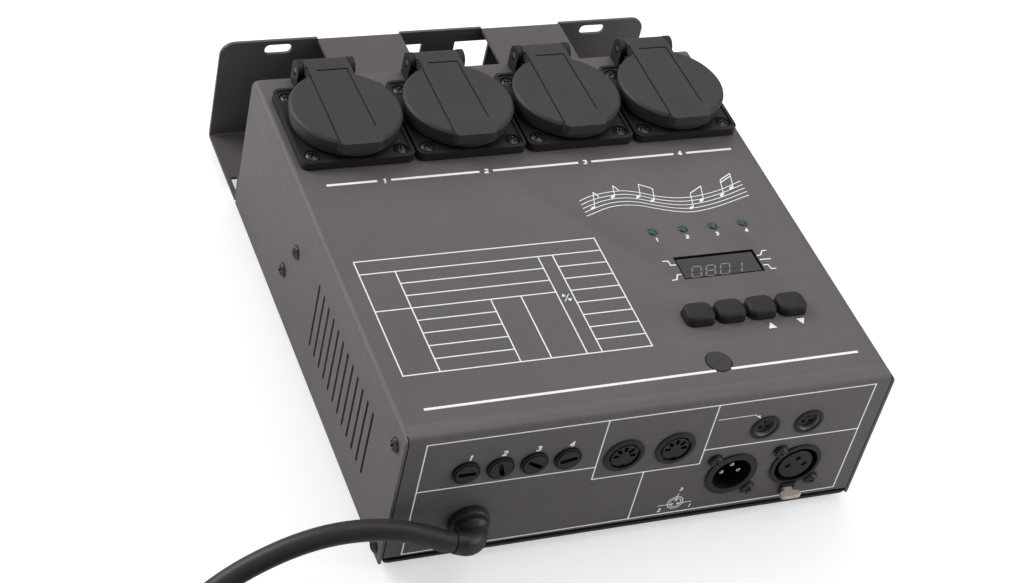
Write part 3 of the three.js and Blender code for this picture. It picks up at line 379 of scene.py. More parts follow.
def swept(route: Sequence[Vector], radii: Sequence[float], sides: int = 32) -> Shell:
    """Sweeps a circle along a route.

    Args:
        route: The points of the route.
        radii: The circle's radius at each point.
        sides: Number of sides of the circle.

    Returns:
        A tube that is closed at both ends.
    """
    points: list[Vector] = []
    last = len(route) - 1
    side = Vector((0, 0, 1)).cross(route[1] - route[0])
    for i, (centre, radius) in enumerate(zip(route, radii)):
        way = (route[min(i + 1, last)] - route[max(i - 1, 0)]).normalized()
        side = (side - way * side.dot(way)).normalized()
        up = way.cross(side)
        angles = (2 * math.pi * k / sides for k in range(sides))
        points += [centre + radius * (side * math.cos(a) + up * math.sin(a)) for a in angles]
    return Shell(tuple(points), tuple(skins(len(route), sides)))


def folded(path: Sequence[Point2], thickness: float, bend: float, steps: int = 8) -> list[Point2]:
    """Draws a sheet that is folded along a path.

    Args:
        path: Corner points of the face on the left of the way along the path.
        thickness: Thickness of the sheet, which lies on the right.
        bend: Outer radius of every fold.
        steps: Steps in each fold.

    Returns:
        The sheet's outline.
    """
    corners = [Vector(point) for point in path]
    ways = [(b - a).normalized() for a, b in zip(corners, corners[1:])]

    def right(way: Vector) -> Vector:
        """Returns the direction on the right of a way."""
        return Vector((way.y, -way.x))

    def face(offset: float, is_left: bool) -> list[Point2]:
        """Draws one face of the sheet, with its folds as arcs.

        Args:
            offset: How far the face lies to the right of the path.
            is_left: Whether it is the sheet's left face.

        Returns:
            The face's points along the path.
        """
        line: list[Point2] = []
        for i, corner in enumerate(corners):
            if i in (0, len(corners) - 1):
                way = ways[min(i, len(ways) - 1)]
                line.append(tuple(corner + right(way) * offset))
                continue
            before, after = ways[i - 1], ways[i]
            sharp = corner + (right(before) + right(after)) * offset
            turn = 1 if before.x * after.y - before.y * after.x > 0 else -1
            radius = bend if (turn < 0) == is_left else bend - thickness
            centre = sharp - before * radius - right(before) * turn * radius
            spoke = right(before) * turn * radius
            first = math.degrees(math.atan2(spoke.y, spoke.x))
            line += arc(tuple(centre), radius, first, first + 90 * turn, steps)
        return line

    return face(0.0, True) + list(reversed(face(thickness, False)))


def eased(share: float) -> float:
    """Returns a share between nought and one with a soft start and end."""
    t = min(1.0, max(0.0, share))
    return t * t * (3 - 2 * t)


def smooth_line(points: Sequence[Sequence[float]], step: float) -> list[Vector]:
    """Draws a smooth curve through the given points.

    Args:
        points: The points that the curve passes through.
        step: Distance between the points of the result.

    Returns:
        Evenly spaced points on the curve.
    """
    given = [Vector(point) for point in points]
    ends = [given[0] * 2 - given[1], *given, given[-1] * 2 - given[-2]]
    fine: list[Vector] = [given[0]]
    for a, b, c, d in zip(ends, ends[1:], ends[2:], ends[3:]):
        count = max(2, math.ceil((c - b).length / step * 4))
        for i in range(1, count + 1):
            t = i / count
            fine.append(0.5 * (2 * b + (c - a) * t + (2 * a - 5 * b + 4 * c - d) * t ** 2
                               + (3 * b - a - 3 * c + d) * t ** 3))
    return evenly(fine, step)


def evenly(points: Sequence[Vector], step: float) -> list[Vector]:
    """Spaces points evenly along a line of close points.

    Args:
        points: The close points.
        step: Distance between the points of the result.

    Returns:
        The evenly spaced points.
    """
    lengths = [0.0]
    for a, b in zip(points, points[1:]):
        lengths.append(lengths[-1] + (b - a).length)
    count = max(2, round(lengths[-1] / step))
    result: list[Vector] = []
    at = 0
    for i in range(count + 1):
        goal = lengths[-1] * i / count
        while at < len(points) - 2 and lengths[at + 1] < goal:
            at += 1
        share = (goal - lengths[at]) / ((lengths[at + 1] - lengths[at]) or 1.0)
        result.append(points[at].lerp(points[at + 1], min(1.0, max(0.0, share))))
    return result


# Materials


def linear(colour: str) -> tuple[float, float, float, float]:
    """Turns an sRGB hex colour into a linear one.

    Args:
        colour: Six hex digits.

    Returns:
        Linear red, green, blue and an alpha of one.
    """
    shares = [int(colour[i:i + 2], 16) / 255 for i in (0, 2, 4)]
    red, green, blue = (s / 12.92 if s <= 0.04045 else ((s + 0.055) / 1.055) ** 2.4 for s in shares)
    return red, green, blue, 1.0


def add_node(tree: bpy.types.NodeTree, kind: str, settings: dict | None = None,
             links: dict | None = None, **values: object) -> bpy.types.Node:
    """Adds a node with its settings and links.

    Args:
        tree: The material's node tree.
        kind: The node's type.
        settings: Properties of the node.
        links: Input name or number to the output socket that feeds it.
        values: Input name, with underscores for spaces, to its fixed value.

    Returns:
        The node.
    """
    node = tree.nodes.new(kind)
    for name, value in (settings or {}).items():
        setattr(node, name, value)
    for name, value in values.items():
        node.inputs[name.replace("_", " ")].default_value = value
    for name, socket in (links or {}).items():
        tree.links.new(socket, node.inputs[name])
    return node


@dataclass(frozen=True)
class Finish:
    """A surface with fine relief and slight unevenness of colour and gloss.

    Args:
        name: What the material is.
        colour: Its sRGB colour.
        shade: The sRGB colour that it drifts to in faint clouds.
        roughness: Its mean roughness.
        metallic: One for bare metal.
        grain: Size of the fine relief in millimetres.
        relief: Depth of the fine relief in millimetres.
        cloud: Size of the faint clouds in millimetres.
        gloss_drift: How far the roughness drifts either way.
        ior: Index of refraction.
        coat: Weight of a clear coat.
        wear: The sRGB colour of the lightened edges, or nothing: rubbed wear on the coats, and a painted
            glint on the screws' rims and crosses.
        wear_share: How strongly the lightened edges show.
        glow: Share of its own colour that it gives off as painted light, though it is no lamp.
    """

    name: str
    colour: str
    shade: str
    roughness: float
    metallic: float = 0.0
    grain: float = 0.5
    relief: float = 0.01
    cloud: float = 30.0
    gloss_drift: float = 0.05
    ior: float = 1.5
    coat: float = 0.0
    wear: str = ""
    wear_share: float = 0.35
    glow: float = 0.0

    def build(self) -> bpy.types.Material:
        """Makes the material.

        Returns:
            A principled surface with the finish's colours, gloss and relief.
        """
        material = bpy.data.materials.new(self.name)
        material.use_nodes = True
        tree = material.node_tree
        tree.nodes.clear()
        place = add_node(tree, "ShaderNodeTexCoord").outputs["Object"]
        clouds = add_node(tree, "ShaderNodeTexNoise", links={"Vector": place},
                          Scale=METRE / self.cloud, Detail=3.0)
        colour = add_node(tree, "ShaderNodeMix", {"data_type": "RGBA"}, {0: clouds.outputs["Fac"]})
        colour.inputs["A"].default_value = linear(self.colour)
        colour.inputs["B"].default_value = linear(self.shade)
        tint = self.weather(tree, colour.outputs["Result"], place)
        grain = add_node(tree, "ShaderNodeTexNoise", links={"Vector": place},
                         Scale=METRE / self.grain, Detail=2.0, Roughness=0.6)
        gloss = add_node(tree, "ShaderNodeMapRange", links={"Value": clouds.outputs["Fac"]},
                         To_Min=self.roughness - self.gloss_drift, To_Max=self.roughness + self.gloss_drift)
        bump = add_node(tree, "ShaderNodeBump", links={"Height": grain.outputs["Fac"]},
                        Distance=self.relief / METRE, Strength=1.0)
        surface = add_node(tree, "ShaderNodeBsdfPrincipled",
                           links={"Base Color": tint, "Roughness": gloss.outputs["Result"],
                                  "Normal": bump.outputs["Normal"], "Emission Color": tint},
                           Metallic=self.metallic, IOR=self.ior, Coat_Weight=self.coat,
                           Emission_Strength=self.glow)
        add_node(tree, "ShaderNodeOutputMaterial", links={"Surface": surface.outputs["BSDF"]})
        return material

    def weather(self, tree: bpy.types.NodeTree, colour: bpy.types.NodeSocket,
                place: bpy.types.NodeSocket) -> bpy.types.NodeSocket:
        """Lightens the edges: rubbed wear on the coats, and a painted glint on the screws.

        Args:
            tree: The material's node tree.
            colour: The colour so far.
            place: Object coordinates.

        Returns:
            The colour with its lightened edges.
        """
        if not self.wear:
            return colour
        geometry = add_node(tree, "ShaderNodeNewGeometry")
        edge = add_node(tree, "ShaderNodeMapRange", links={"Value": geometry.outputs["Pointiness"]},
                        From_Min=0.52, From_Max=0.6)
        patches = add_node(tree, "ShaderNodeTexNoise", links={"Vector": place}, Scale=METRE / 4.0, Detail=4.0)
        share = add_node(tree, "ShaderNodeMath", {"operation": "MULTIPLY"},
                         {0: edge.outputs["Result"], 1: patches.outputs["Fac"]})
        weight = add_node(tree, "ShaderNodeMath", {"operation": "MULTIPLY"}, {0: share.outputs["Value"]})
        weight.inputs[1].default_value = self.wear_share
        mix = add_node(tree, "ShaderNodeMix", {"data_type": "RGBA"},
                       {0: weight.outputs["Value"], "A": colour})
        mix.inputs["B"].default_value = linear(self.wear)
        return mix.outputs["Result"]


# Powder coat gives a satin skin with a fine orange peel, rubbed a little lighter along its edges.
COVER_COAT = Finish("powder_coated_steel", "6c6668", "635d5f", 0.56, grain=0.55, relief=0.012, cloud=45,
                    wear="8b8587")
BRACKET_COAT = Finish("powder_coated_bracket", "615b5d", "575153", 0.54, grain=0.6, relief=0.014, cloud=50,
                      wear="85817f")
TRAY_COAT = Finish("powder_coated_tray", "2e2b2c", "292627", 0.5, grain=0.6, relief=0.014, cloud=50,
                   wear="5d5a59")
# Moulded nylon is matt, with a spark-eroded grain that breaks up its highlights.
LID_NYLON = Finish("moulded_nylon_lid", "413c3c", "3a3536", 0.58, grain=0.35, relief=0.01, cloud=18)
SOCKET_NYLON = Finish("moulded_nylon_socket", "1f1d1e", "1a1819", 0.54, grain=0.35, relief=0.01, cloud=18)
HOLDER_NYLON = Finish("moulded_nylon_holder", "100e0f", "0c0b0c", 0.5, grain=0.3, relief=0.008, cloud=12)
# The glass fibres in the connectors' nylon come to the skin in places and give it a slight shine.
CONNECTOR_NYLON = Finish("glass_filled_nylon", "191718", "131112", 0.46, grain=0.3, relief=0.008, cloud=12)
# The keys' moulded ABS has a fine dull texture, which looks soft under a lamp.
KEY_ABS = Finish("moulded_abs_key", "312e30", "2b282a", 0.6, grain=0.4, relief=0.006, cloud=8, ior=1.42)
# Cast acrylic is polished, so the display mirrors its surroundings. The infrared window is a little duller.
SMOKED_ACRYLIC = Finish("smoked_acrylic", "1f1a1d", "181416", 0.2, grain=2.0, relief=0.002, cloud=15,
                        coat=0.1, gloss_drift=0.03)
EYE_ACRYLIC = Finish("infrared_pass_acrylic", "3a3335", "322c2e", 0.3, grain=1.2, relief=0.004, cloud=8)
# Cast epoxy is dyed right through and glossy, with a small bright spot on each lamp's dome.
LAMP_EPOXY = Finish("green_epoxy_lens", "356650", "234a39", 0.3, grain=0.8, relief=0.004, cloud=2, coat=0.2)
# Screen-printed ink lies flat and white. It also gives off a little of its own colour as painted light, so
# the lines stay bright where the front lies in shade.
PRINT_INK = Finish("screen_print_ink", "fbfbfb", "f2f2f2", 0.55, grain=0.3, relief=0.004, cloud=6, glow=0.2)
# The display's segments look pale where they are lit and all but vanish where they aren't.
SEGMENT_INK = Finish("lit_digit_segments", "98a089", "868f76", 0.4, grain=0.6, relief=0.002, cloud=3)
DARK_INK = Finish("unlit_digit_segments", "292427", "242023", 0.3, grain=0.6, relief=0.002, cloud=3)
# Blackened screws are dull metal. A pale colour on their rims and crosses is a painted highlight that stands
# in for their glint.
BLACK_SCREW = Finish("black_oxide_steel", "343132", "262425", 0.36, metallic=0.75, grain=0.25, relief=0.006,
                     cloud=3, wear="b5b2b0", wear_share=0.8)
# Plated pins are bright and faintly yellow, tinned contacts are paler and duller.
NICKEL = Finish("nickel_plated_steel", "c9c4b8", "bdb8ab", 0.26, metallic=1.0, grain=0.4, relief=0.003,
                cloud=5)
TINNED = Finish("tinned_contact", "d0cdc6", "c0bcb4", 0.3, metallic=0.5, grain=0.3, relief=0.003, cloud=2)
# The cast and tumbled latch is pale and satin, and shows its rounded edges.
LATCH_METAL = Finish("cast_zinc_latch", "e6dacb", "d8ccbd", 0.42, metallic=0.1, grain=0.5, relief=0.006,
                     cloud=6)
# A soft cord jacket is matt, with faint drawn lines and a dusty bloom. The moulded relief shines a bit more.
JACKET = Finish("soft_vinyl_jacket", "353334", "3d3a3b", 0.44, grain=0.9, relief=0.012, cloud=22)
RELIEF_RUBBER = Finish("moulded_vinyl_relief", "282627", "302e2f", 0.4, grain=0.7, relief=0.01, cloud=9)
# Foam round the display is painted near black and dull, as painted shade in the gap round the window. The
# feet's rubber is dull.
GAP_SHADE_FOAM = Finish("painted_gap_shade", "0b0a0a", "121111", 0.95, grain=0.5, relief=0.02, cloud=6, ior=1.12)
FOOT_RUBBER = Finish("moulded_rubber_foot", "1a1819", "232122", 0.7, grain=0.5, relief=0.02, cloud=7)
# Drawn aluminium, lacquered boards, varnished iron and enamelled wire give the dark inside a few tones.
ALUMINIUM = Finish("extruded_aluminium", "b4b6b8", "a6a8aa", 0.36, metallic=1.0, grain=0.6, relief=0.006,
                   cloud=20)
BOARD = Finish("solder_mask_laminate", "1f5236", "28603f", 0.38, grain=1.5, relief=0.01, cloud=5)
LAMINATION = Finish("varnished_lamination", "6e6a66", "58544f", 0.5, metallic=0.7, grain=0.5, relief=0.02,
                    cloud=9)
ENAMELLED_COPPER = Finish("enamelled_copper", "a85f2c", "8a4a20", 0.3, metallic=0.8, grain=0.6, relief=0.02,
                          cloud=4)


class Paints:
    """Keeps one Blender material for each finish."""

    def __init__(self) -> None:
        """Starts with none."""
        self.made: dict[str, bpy.types.Material] = {}

    def of(self, finish: Finish) -> bpy.types.Material:
        """Keeps each finish's material, so that it is made once.

        Args:
            finish: The finish.

        Returns:
            Its material.
        """
        if finish.name not in self.made:
            self.made[finish.name] = finish.build()
        return self.made[finish.name]


# Workshop


@dataclass
class Workshop:
    """Makes Blender objects from shells and hands them to the frame.

    Args:
        space: The case's millimetre space.
        paints: The materials.
        bevel_angle: Angle in degrees above which an edge is bevelled.
        face_weight: How strongly large faces lead the shading.
        screw_head: Profile of a screw's head, in shares of its radius and height.
        screw_sink: How far the head reaches below its seat.
        cross: Length and width of an arm of its cross in shares of the radius, and its floor's height in
            shares of the height.
    """

    space: CaseSpace
    paints: Paints = field(default_factory=Paints)
    bevel_angle: float = 34.0
    face_weight: int = 80
    screw_head: Line2 = ((1.0, 0.3), (0.93, 0.62), (0.72, 0.87), (0.4, 1.0), (0.0, 1.0))
    screw_sink: float = 0.2
    cross: Point3 = (1.2, 0.26, 0.25)

    def plain(self, name: str, shell: Shell) -> bpy.types.Object:
        """Makes an object in millimetres, without a material.

        Args:
            name: The object's name.
            shell: Its shell.

        Returns:
            The object, with its faces turned outwards.
        """
        mesh = bpy.data.meshes.new(name)
        mesh.from_pydata([tuple(point) for point in shell.points], [], [list(face) for face in shell.faces])
        work = bmesh.new()
        work.from_mesh(mesh)
        bmesh.ops.recalc_face_normals(work, faces=work.faces)
        work.to_mesh(mesh)
        work.free()
        made = bpy.data.objects.new(name, mesh)
        bpy.context.scene.collection.objects.link(made)
        return made

    def settle(self, piece: bpy.types.Object) -> None:
        """Turns a piece's modifiers into its mesh.

        Args:
            piece: The piece, in millimetres.
        """
        bpy.context.view_layer.update()
        result = bpy.data.meshes.new_from_object(piece.evaluated_get(bpy.context.evaluated_depsgraph_get()))
        piece.modifiers.clear()
        old = piece.data
        piece.data = result
        bpy.data.meshes.remove(old)

    def combine(self, piece: bpy.types.Object, shells: Sequence[Shell], change: Change) -> None:
        """Joins shells to a piece, or cuts them out of it.

        Args:
            piece: The piece, in millimetres.
            shells: Closed shells. Those in one call stay clear of each other.
            change: Whether they are joined or cut.
        """
        tool = self.plain(f"{piece.name}_tool", together(shells))
        step = piece.modifiers.new("step", "BOOLEAN")
        step.operation = change.value
        step.solver = "EXACT"
        step.object = tool
        self.settle(piece)
        bpy.data.objects.remove(tool, do_unlink=True)

    def smooth(self, piece: bpy.types.Object, bevel: float, segments: int, sharp: float) -> None:
        """Rounds a piece's edges and smooths what is round.

        Args:
            piece: The piece, in millimetres.
            bevel: Width of the bevel on its edges.
            segments: Number of steps in the bevel.
            sharp: Angle in degrees above which an edge stays sharp.
        """
        piece.data.shade_smooth()
        if bevel:
            change = piece.modifiers.new("bevel", "BEVEL")
            change.width = bevel
            change.segments = segments
            change.limit_method = "ANGLE"
            change.angle_limit = math.radians(self.bevel_angle)
            self.settle(piece)
        piece.data.set_sharp_from_angle(angle=math.radians(sharp))
        weigh = piece.modifiers.new("weigh", "WEIGHTED_NORMAL")
        weigh.keep_sharp = True
        weigh.weight = self.face_weight
        self.settle(piece)

    def make(self, name: str, shell: Shell, finish: Finish, body: str = Body.CASE.value, *,
             place: Matrix = HERE, steps: Sequence[tuple[Change, Sequence[Shell]]] = (), bevel: float = 0.0,
             segments: int = 2, sharp: float = 50.0, slot: str = "",
             replaces: Sequence[str] = ()) -> bpy.types.Object:
        """Makes one piece of the object.

        Args:
            name: The piece's name.
            shell: Its first shell.
            finish: Its finish.
            body: The frame's body that it rides on.
            place: Where its shells stand in the case's millimetres.
            steps: Groups of shells that are joined to it or cut out of it, one after another.
            bevel: Width of the bevel on its edges.
            segments: Number of steps in the bevel.
            sharp: Angle in degrees above which an edge stays sharp.
            slot: The record's material slot.
            replaces: The frame's nodes that it stands for.

        Returns:
            The piece, in the frame's metres.
        """
        piece = self.plain(name, shell.moved(place))
        for change, shells in steps:
            self.combine(piece, [tool.moved(place) for tool in shells], change)
        self.smooth(piece, bevel, segments, sharp)
        piece.data.transform(self.space.matrix())
        piece.data.materials.clear()
        piece.data.materials.append(self.paints.of(finish))
        self.enrol(piece, body, slot, replaces)
        return piece

    def screw(self, name: str, place: Matrix, radius: float, height: float, turn: float) -> None:
        """Makes a cross-head screw.

        Args:
            name: Its name.
            place: Where the underside of its head lies, with the head up.
            radius: Radius of the head.
            height: Height of the head.
            turn: How far its cross is turned, in degrees.
        """
        rings = [(radius * across, height * up) for across, up in self.screw_head]
        head = lathe([(0, -self.screw_sink), (radius, -self.screw_sink), *rings], 40)
        long, wide, floor = (share * size for share, size in zip(self.cross, (radius, radius, height)))
        arms = [slab(*arm, floor, 2 * height) for arm in ((long, wide), (wide, long))]
        self.make(name, head, BLACK_SCREW, place=place @ spin(turn), slot="bare_steel", sharp=40,
                  steps=[(Change.CUT, [arm]) for arm in arms])

    def enrol(self, piece: bpy.types.Object, body: str, slot: str, replaces: Sequence[str]) -> None:
        """Attaches a piece to the frame's body that it rides on, and hides the frame's nodes that it stands
        for.

        Args:
            piece: The piece.
            body: The frame's body that it rides on.
            slot: The record's material slot. Not used.
            replaces: The frame's nodes that it stands for.
        """
        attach(piece, body)
        if replaces:
            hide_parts(*replaces)
        LOG.info("made %s on %s", piece.name, body)

    def dress(self, node: str, finish: Finish) -> None:
        """Gives a carried-over node its finish.

        Args:
            node: The node's name.
            finish: Its finish.
        """
        piece = bpy.data.objects[node]
        paint = self.paints.of(finish)
        for held in piece.material_slots:
            held.material = paint
        if not piece.material_slots:
            piece.data.materials.append(paint)
        LOG.info("dressed %s", node)


@dataclass
class Assembly:
    """A sub-assembly, which holds its sizes and places in millimetres.

    Args:
        shop: The workshop.
    """

    shop: Workshop


# Studio


@dataclass(frozen=True)
class Lamp:
    """A soft lamp.

    Args:
        name: Its name.
        place: Where it hangs, in metres.
        size: The side of its square face, in metres.
        power: Its power in watts.
    """

    name: str
    place: Point3
    size: float
    power: float


@dataclass
class Studio:
    """The floor, lights, background and camera.

    Args:
        space: The case's millimetre space.
        lens: Focal length in millimetres, on a sensor of the standard width.
        eye: The camera's place in the case's millimetres.
        axes: The camera's right, down and forward directions.
        floor_reach: Half the side of the floor, in metres.
        lamps: The lamps, which all face the object.
    """

    space: CaseSpace
    lens: float = 78.68
    eye: Point3 = (-280.34, -535.38, 693.51)
    axes: tuple[Point3, Point3, Point3] = (
        (0.920811, -0.340016, 0.191038), (-0.101080, -0.681154, -0.725129), (0.376682, 0.648397, -0.661583))
    floor_reach: float = 6.0
    lamps: tuple[Lamp, ...] = (
        Lamp("key_softbox", (-1.1, 0.9, 1.0), 1.0, 17.0),
        Lamp("top_softbox", (0.45, 0.1, 1.6), 1.1, 6.5),
        Lamp("front_softbox", (0.62, -0.4, 0.38), 0.45, 1.8),
        Lamp("back_softbox", (0.9, 1.5, 1.1), 0.9, 3.0),
    )

    def make_camera(self) -> None:
        """Places the camera at the photograph's angle."""
        data = bpy.data.cameras.new("camera")
        data.lens = self.lens
        data.sensor_width = 36.0
        data.clip_start = 0.01
        data.clip_end = 50.0
        camera = bpy.data.objects.new("camera", data)
        right, down, ahead = (Vector(axis) for axis in self.axes)
        turn = Matrix((right, -down, -ahead)).transposed().to_4x4()
        camera.matrix_world = Matrix.Translation(self.space.metres(self.eye)) @ turn
        bpy.context.scene.collection.objects.link(camera)
        bpy.context.scene.camera = camera

    def make_lights(self) -> None:
        """Hangs the lamps and sets the background."""
        for lamp in self.lamps:
            data = bpy.data.lights.new(lamp.name, "AREA")
            data.size = lamp.size
            data.energy = lamp.power
            piece = bpy.data.objects.new(lamp.name, data)
            piece.location = lamp.place
            piece.rotation_mode = "QUATERNION"
            piece.rotation_quaternion = (-Vector(lamp.place)).to_track_quat("-Z", "Y")
            bpy.context.scene.collection.objects.link(piece)
        world = bpy.data.worlds.new("studio")
        world.use_nodes = True
        tree = world.node_tree
        tree.nodes.clear()
        path = add_node(tree, "ShaderNodeLightPath")
        seen = add_node(tree, "ShaderNodeMath", {"operation": "MAXIMUM"},
                        {0: path.outputs["Is Camera Ray"], 1: path.outputs["Is Transmission Ray"]})
        air = add_node(tree, "ShaderNodeBackground", Color=(1.0, 1.0, 1.0, 1.0), Strength=0.2)
        white = add_node(tree, "ShaderNodeBackground", Color=(1.0, 1.0, 1.0, 1.0), Strength=1.0)
        mix = add_node(tree, "ShaderNodeMixShader", links={
            0: seen.outputs["Value"], 1: air.outputs["Background"], 2: white.outputs["Background"]})
        add_node(tree, "ShaderNodeOutputWorld", links={"Surface": mix.outputs["Shader"]})
        bpy.context.scene.world = world
        bpy.context.scene.view_settings.view_transform = "Standard"

    def make_floor(self) -> None:
        """Lays the pale floor."""
        reach = self.floor_reach
        mesh = bpy.data.meshes.new("floor")
        mesh.from_pydata([(-reach, -reach, 0), (reach, -reach, 0), (reach, reach, 0), (-reach, reach, 0)], [],
                         [(0, 1, 2, 3)])
        floor = bpy.data.objects.new("floor", mesh)
        bpy.context.scene.collection.objects.link(floor)
        material = bpy.data.materials.new("pale_seamless_paper")
        material.use_nodes = True
        tree = material.node_tree
        tree.nodes.clear()
        paper = add_node(tree, "ShaderNodeBsdfDiffuse", Color=(0.86, 0.86, 0.86, 1.0))
        glow = add_node(tree, "ShaderNodeEmission", Color=(1.0, 1.0, 1.0, 1.0), Strength=0.5)
        path = add_node(tree, "ShaderNodeLightPath")
        lit = add_node(tree, "ShaderNodeAddShader",
                       links={0: paper.outputs["BSDF"], 1: glow.outputs["Emission"]})
        mix = add_node(tree, "ShaderNodeMixShader", links={
            0: path.outputs["Is Camera Ray"], 1: paper.outputs["BSDF"], 2: lit.outputs["Shader"]})
        add_node(tree, "ShaderNodeOutputMaterial", links={"Surface": mix.outputs["Shader"]})
        mesh.materials.append(material)


# Mains lead


@dataclass
class MainsLead(Assembly):
    """The strain relief, the lead with its coil, the tie and the plug."""

    diameter: float = 9.0
    # Strain relief: its bell, and the sleeve, which bends round the elbow and loses a little each step.
    bell: Line2 = (
        (0, -12), (6.2, -12), (6.2, 0.3), (8.6, 0.3), (8.9, 0.9), (8.9, 2.3), (8.6, 3.2), (8.1, 3.7),
        (7.6, 3.9), (7.45, 4.4), (7.6, 5.4), (7.35, 6.2), (6.9, 6.8), (6.3, 7.6), (5.9, 8.6), (4.6, 9.2),
        (0, 9.2))
    elbow: Point3 = (34.9, -13.4, 20.0)
    elbow_bend: float = 6.0
    elbow_root: float = 2.4
    elbow_radius: float = 5.8
    elbow_loss: float = 0.05
    elbow_steps: int = 14
    sleeve_end: Point3 = (24.4, -12.1, 22.4)
    sleeve_round: float = 0.4
    sleeve_radii: Point2 = (4.85, 4.6)
    # The stretch that isn't coiled, and how close its points lie while it is drawn and at last.
    route: tuple[Point3, ...] = (
        (15.6, -10.1, 24.9), (5.6, -7.8, 27.6), (-5.0, -5.6, 28.6), (-15.0, -3.9, 28.0), (-26.0, -2.6, 26.0),
        (-38.0, -2.0, 22.3), (-50.0, -2.3, 17.3), (-62.0, -3.8, 11.8), (-74.0, -7.4, 6.5),
        (-85.5, -13.4, 2.5), (-96.0, -22.0, 0.1), (-104.6, -32.6, -0.5), (-111.2, -44.6, -0.5))
    spacing: Point2 = (2.0, 4.0)
    # Coil: it starts at a share of a turn, grows by a step each turn and climbs to a second layer.
    coil_centre: Point2 = (-60.0, -77.0)
    coil_radius: float = 49.0
    coil_turns: float = 4.3
    coil_start: float = 0.46
    coil_step: float = 9.8
    coil_climb: float = 9.7
    climb_turns: float = 0.5
    turn_points: int = 60
    # Plug: its axis, its profile, its notches' width, depth, length and offset, and its pins.
    plug_axis: float = 19.3
    plug_face: float = 56.0
    plug: Line2 = (
        (0, 0), (5.4, 0), (5.6, 4), (6.1, 10), (6.5, 18), (8.6, 20.5), (12.4, 23.0), (13, 24.5), (13, 33),
        (14.2, 35.6), (18.2, 38.6), (19, 40), (19, 54.8), (18.4, 55.7), (17.6, 56), (0, 56))
    notch: tuple[float, float, float, float] = (4.4, 4.6, 16.0, 18.8)
    pin: Line2 = ((0, -2), (2.4, -2), (2.4, 17.4), (1.6, 19), (0, 19))
    pin_offset: float = 9.5
    # Tie: its place as a share of a turn, and width, height and corner radius of its loop.
    tie_place: float = 0.86
    tie: Point3 = (36.0, 20.6, 6.0)
    tie_lift: float = 0.1
    tie_thick: float = 0.8
    tie_half: float = 5.0

    def coil_point(self, turns: float) -> Vector:
        """Follows the coil's centre line.

        Args:
            turns: Number of turns from the coil's start.

        Returns:
            The point in the case's millimetres.
        """
        half = self.coil_turns / 2
        inward = min(turns, self.coil_turns - turns)
        radius = self.coil_radius + self.coil_step * (half / 2 - inward)
        low, high = self.diameter / 2, self.diameter / 2 + self.coil_climb
        height = low + self.coil_climb * eased((turns - half) / self.climb_turns + 0.5)
        height += (self.plug_axis - high) * eased((turns - self.coil_turns) / self.climb_turns + 1)
        angle = 2 * math.pi * (self.coil_start + turns)
        x, y = self.coil_centre
        return Vector((x + radius * math.cos(angle), y + radius * math.sin(angle),
                       height + self.shop.space.floor))

    def end_way(self, turns: float, side: int) -> Vector:
        """Finds the way that the cord leaves the coil at one of its ends.

        Args:
            turns: Where the end is.
            side: Minus one at the start and one at the end.

        Returns:
            The level direction.
        """
        inside = self.coil_point(turns - side * 0.001)
        way = (self.coil_point(turns) - inside) * side
        way.z = 0
        return way.normalized()

    def centre_line(self) -> list[Vector]:
        """Draws the whole cord's centre line.

        Returns:
            Evenly spaced points from the strain relief to the plug.
        """
        sleeve = (Vector(self.sleeve_end) - Vector(self.elbow)).normalized()
        start = Vector(self.sleeve_end) + sleeve * FIT
        first, last = self.end_way(0.0, -1), self.end_way(self.coil_turns, 1)
        lead_in = self.coil_point(0.0) - first * (self.diameter + FIT)
        free = [start, start + sleeve * self.diameter / 2, *(Vector(point) for point in self.route),
                lead_in - first * self.diameter, lead_in]
        steps = round(self.coil_turns * self.turn_points)
        coil = [self.coil_point(self.coil_turns * i / steps) for i in range(steps + 1)]
        close, even = self.spacing
        fine = smooth_line(free, close)
        fine += [coil[0] - first * self.diameter / 2, *coil, coil[-1] + last * self.diameter]
        return evenly(fine, even)

    def build(self) -> None:
        """Makes the lead and everything on it."""
        self.make_relief()
        plug = self.make_plug()
        tie = self.make_tie()
        line = self.centre_line()
        curve = bpy.data.curves.new("mains_lead", "CURVE")
        curve.dimensions = "3D"
        curve.bevel_depth = self.diameter / 2 / METRE
        curve.bevel_resolution = 6
        curve.use_fill_caps = True
        spline = curve.splines.new("POLY")
        spline.points.add(len(line) - 1)
        for target, point in zip(spline.points, line):
            target.co = (*self.shop.space.metres(point), 1.0)
        cord = bpy.data.objects.new("mains_lead", curve)
        bpy.context.scene.collection.objects.link(cord)
        curve.materials.append(self.shop.paints.of(JACKET))
        self.shop.enrol(cord, Body.CASE.value, "lead_rubber", ("power_cord", "cord_coil"))
        tuple(self.shop.space.metres(line[0]))

    def make_relief(self) -> None:
        """Makes the bell on the panel with its bent sleeve."""
        elbow, end = Vector(self.elbow), Vector(self.sleeve_end)
        into, out = Vector((0, -1, 0)), (end - elbow).normalized()
        half, axis = into.angle(out) / 2, into.cross(out)
        centre = elbow + (out - into).normalized() * self.elbow_bend / math.cos(half)
        first = elbow - into * self.elbow_bend * math.tan(half)
        steps = range(self.elbow_steps + 1)
        bend = [centre + Matrix.Rotation(2 * half * i / self.elbow_steps, 3, axis) @ (first - centre)
                for i in steps]
        route = [first - into * self.elbow_root, *bend, end - out * self.sleeve_round, end]
        thick = [self.elbow_radius - self.elbow_loss * i for i in steps]
        sleeve = swept(route, [thick[0], *thick, *self.sleeve_radii], 64)
        self.shop.make(
            "strain_relief_body", lathe(self.bell, 96).moved(Facing.FRONT.at(elbow.x, 0, elbow.z)),
            RELIEF_RUBBER, slot="lead_rubber", replaces=("strain_relief",), sharp=40,
            steps=[(Change.JOIN, [sleeve])])

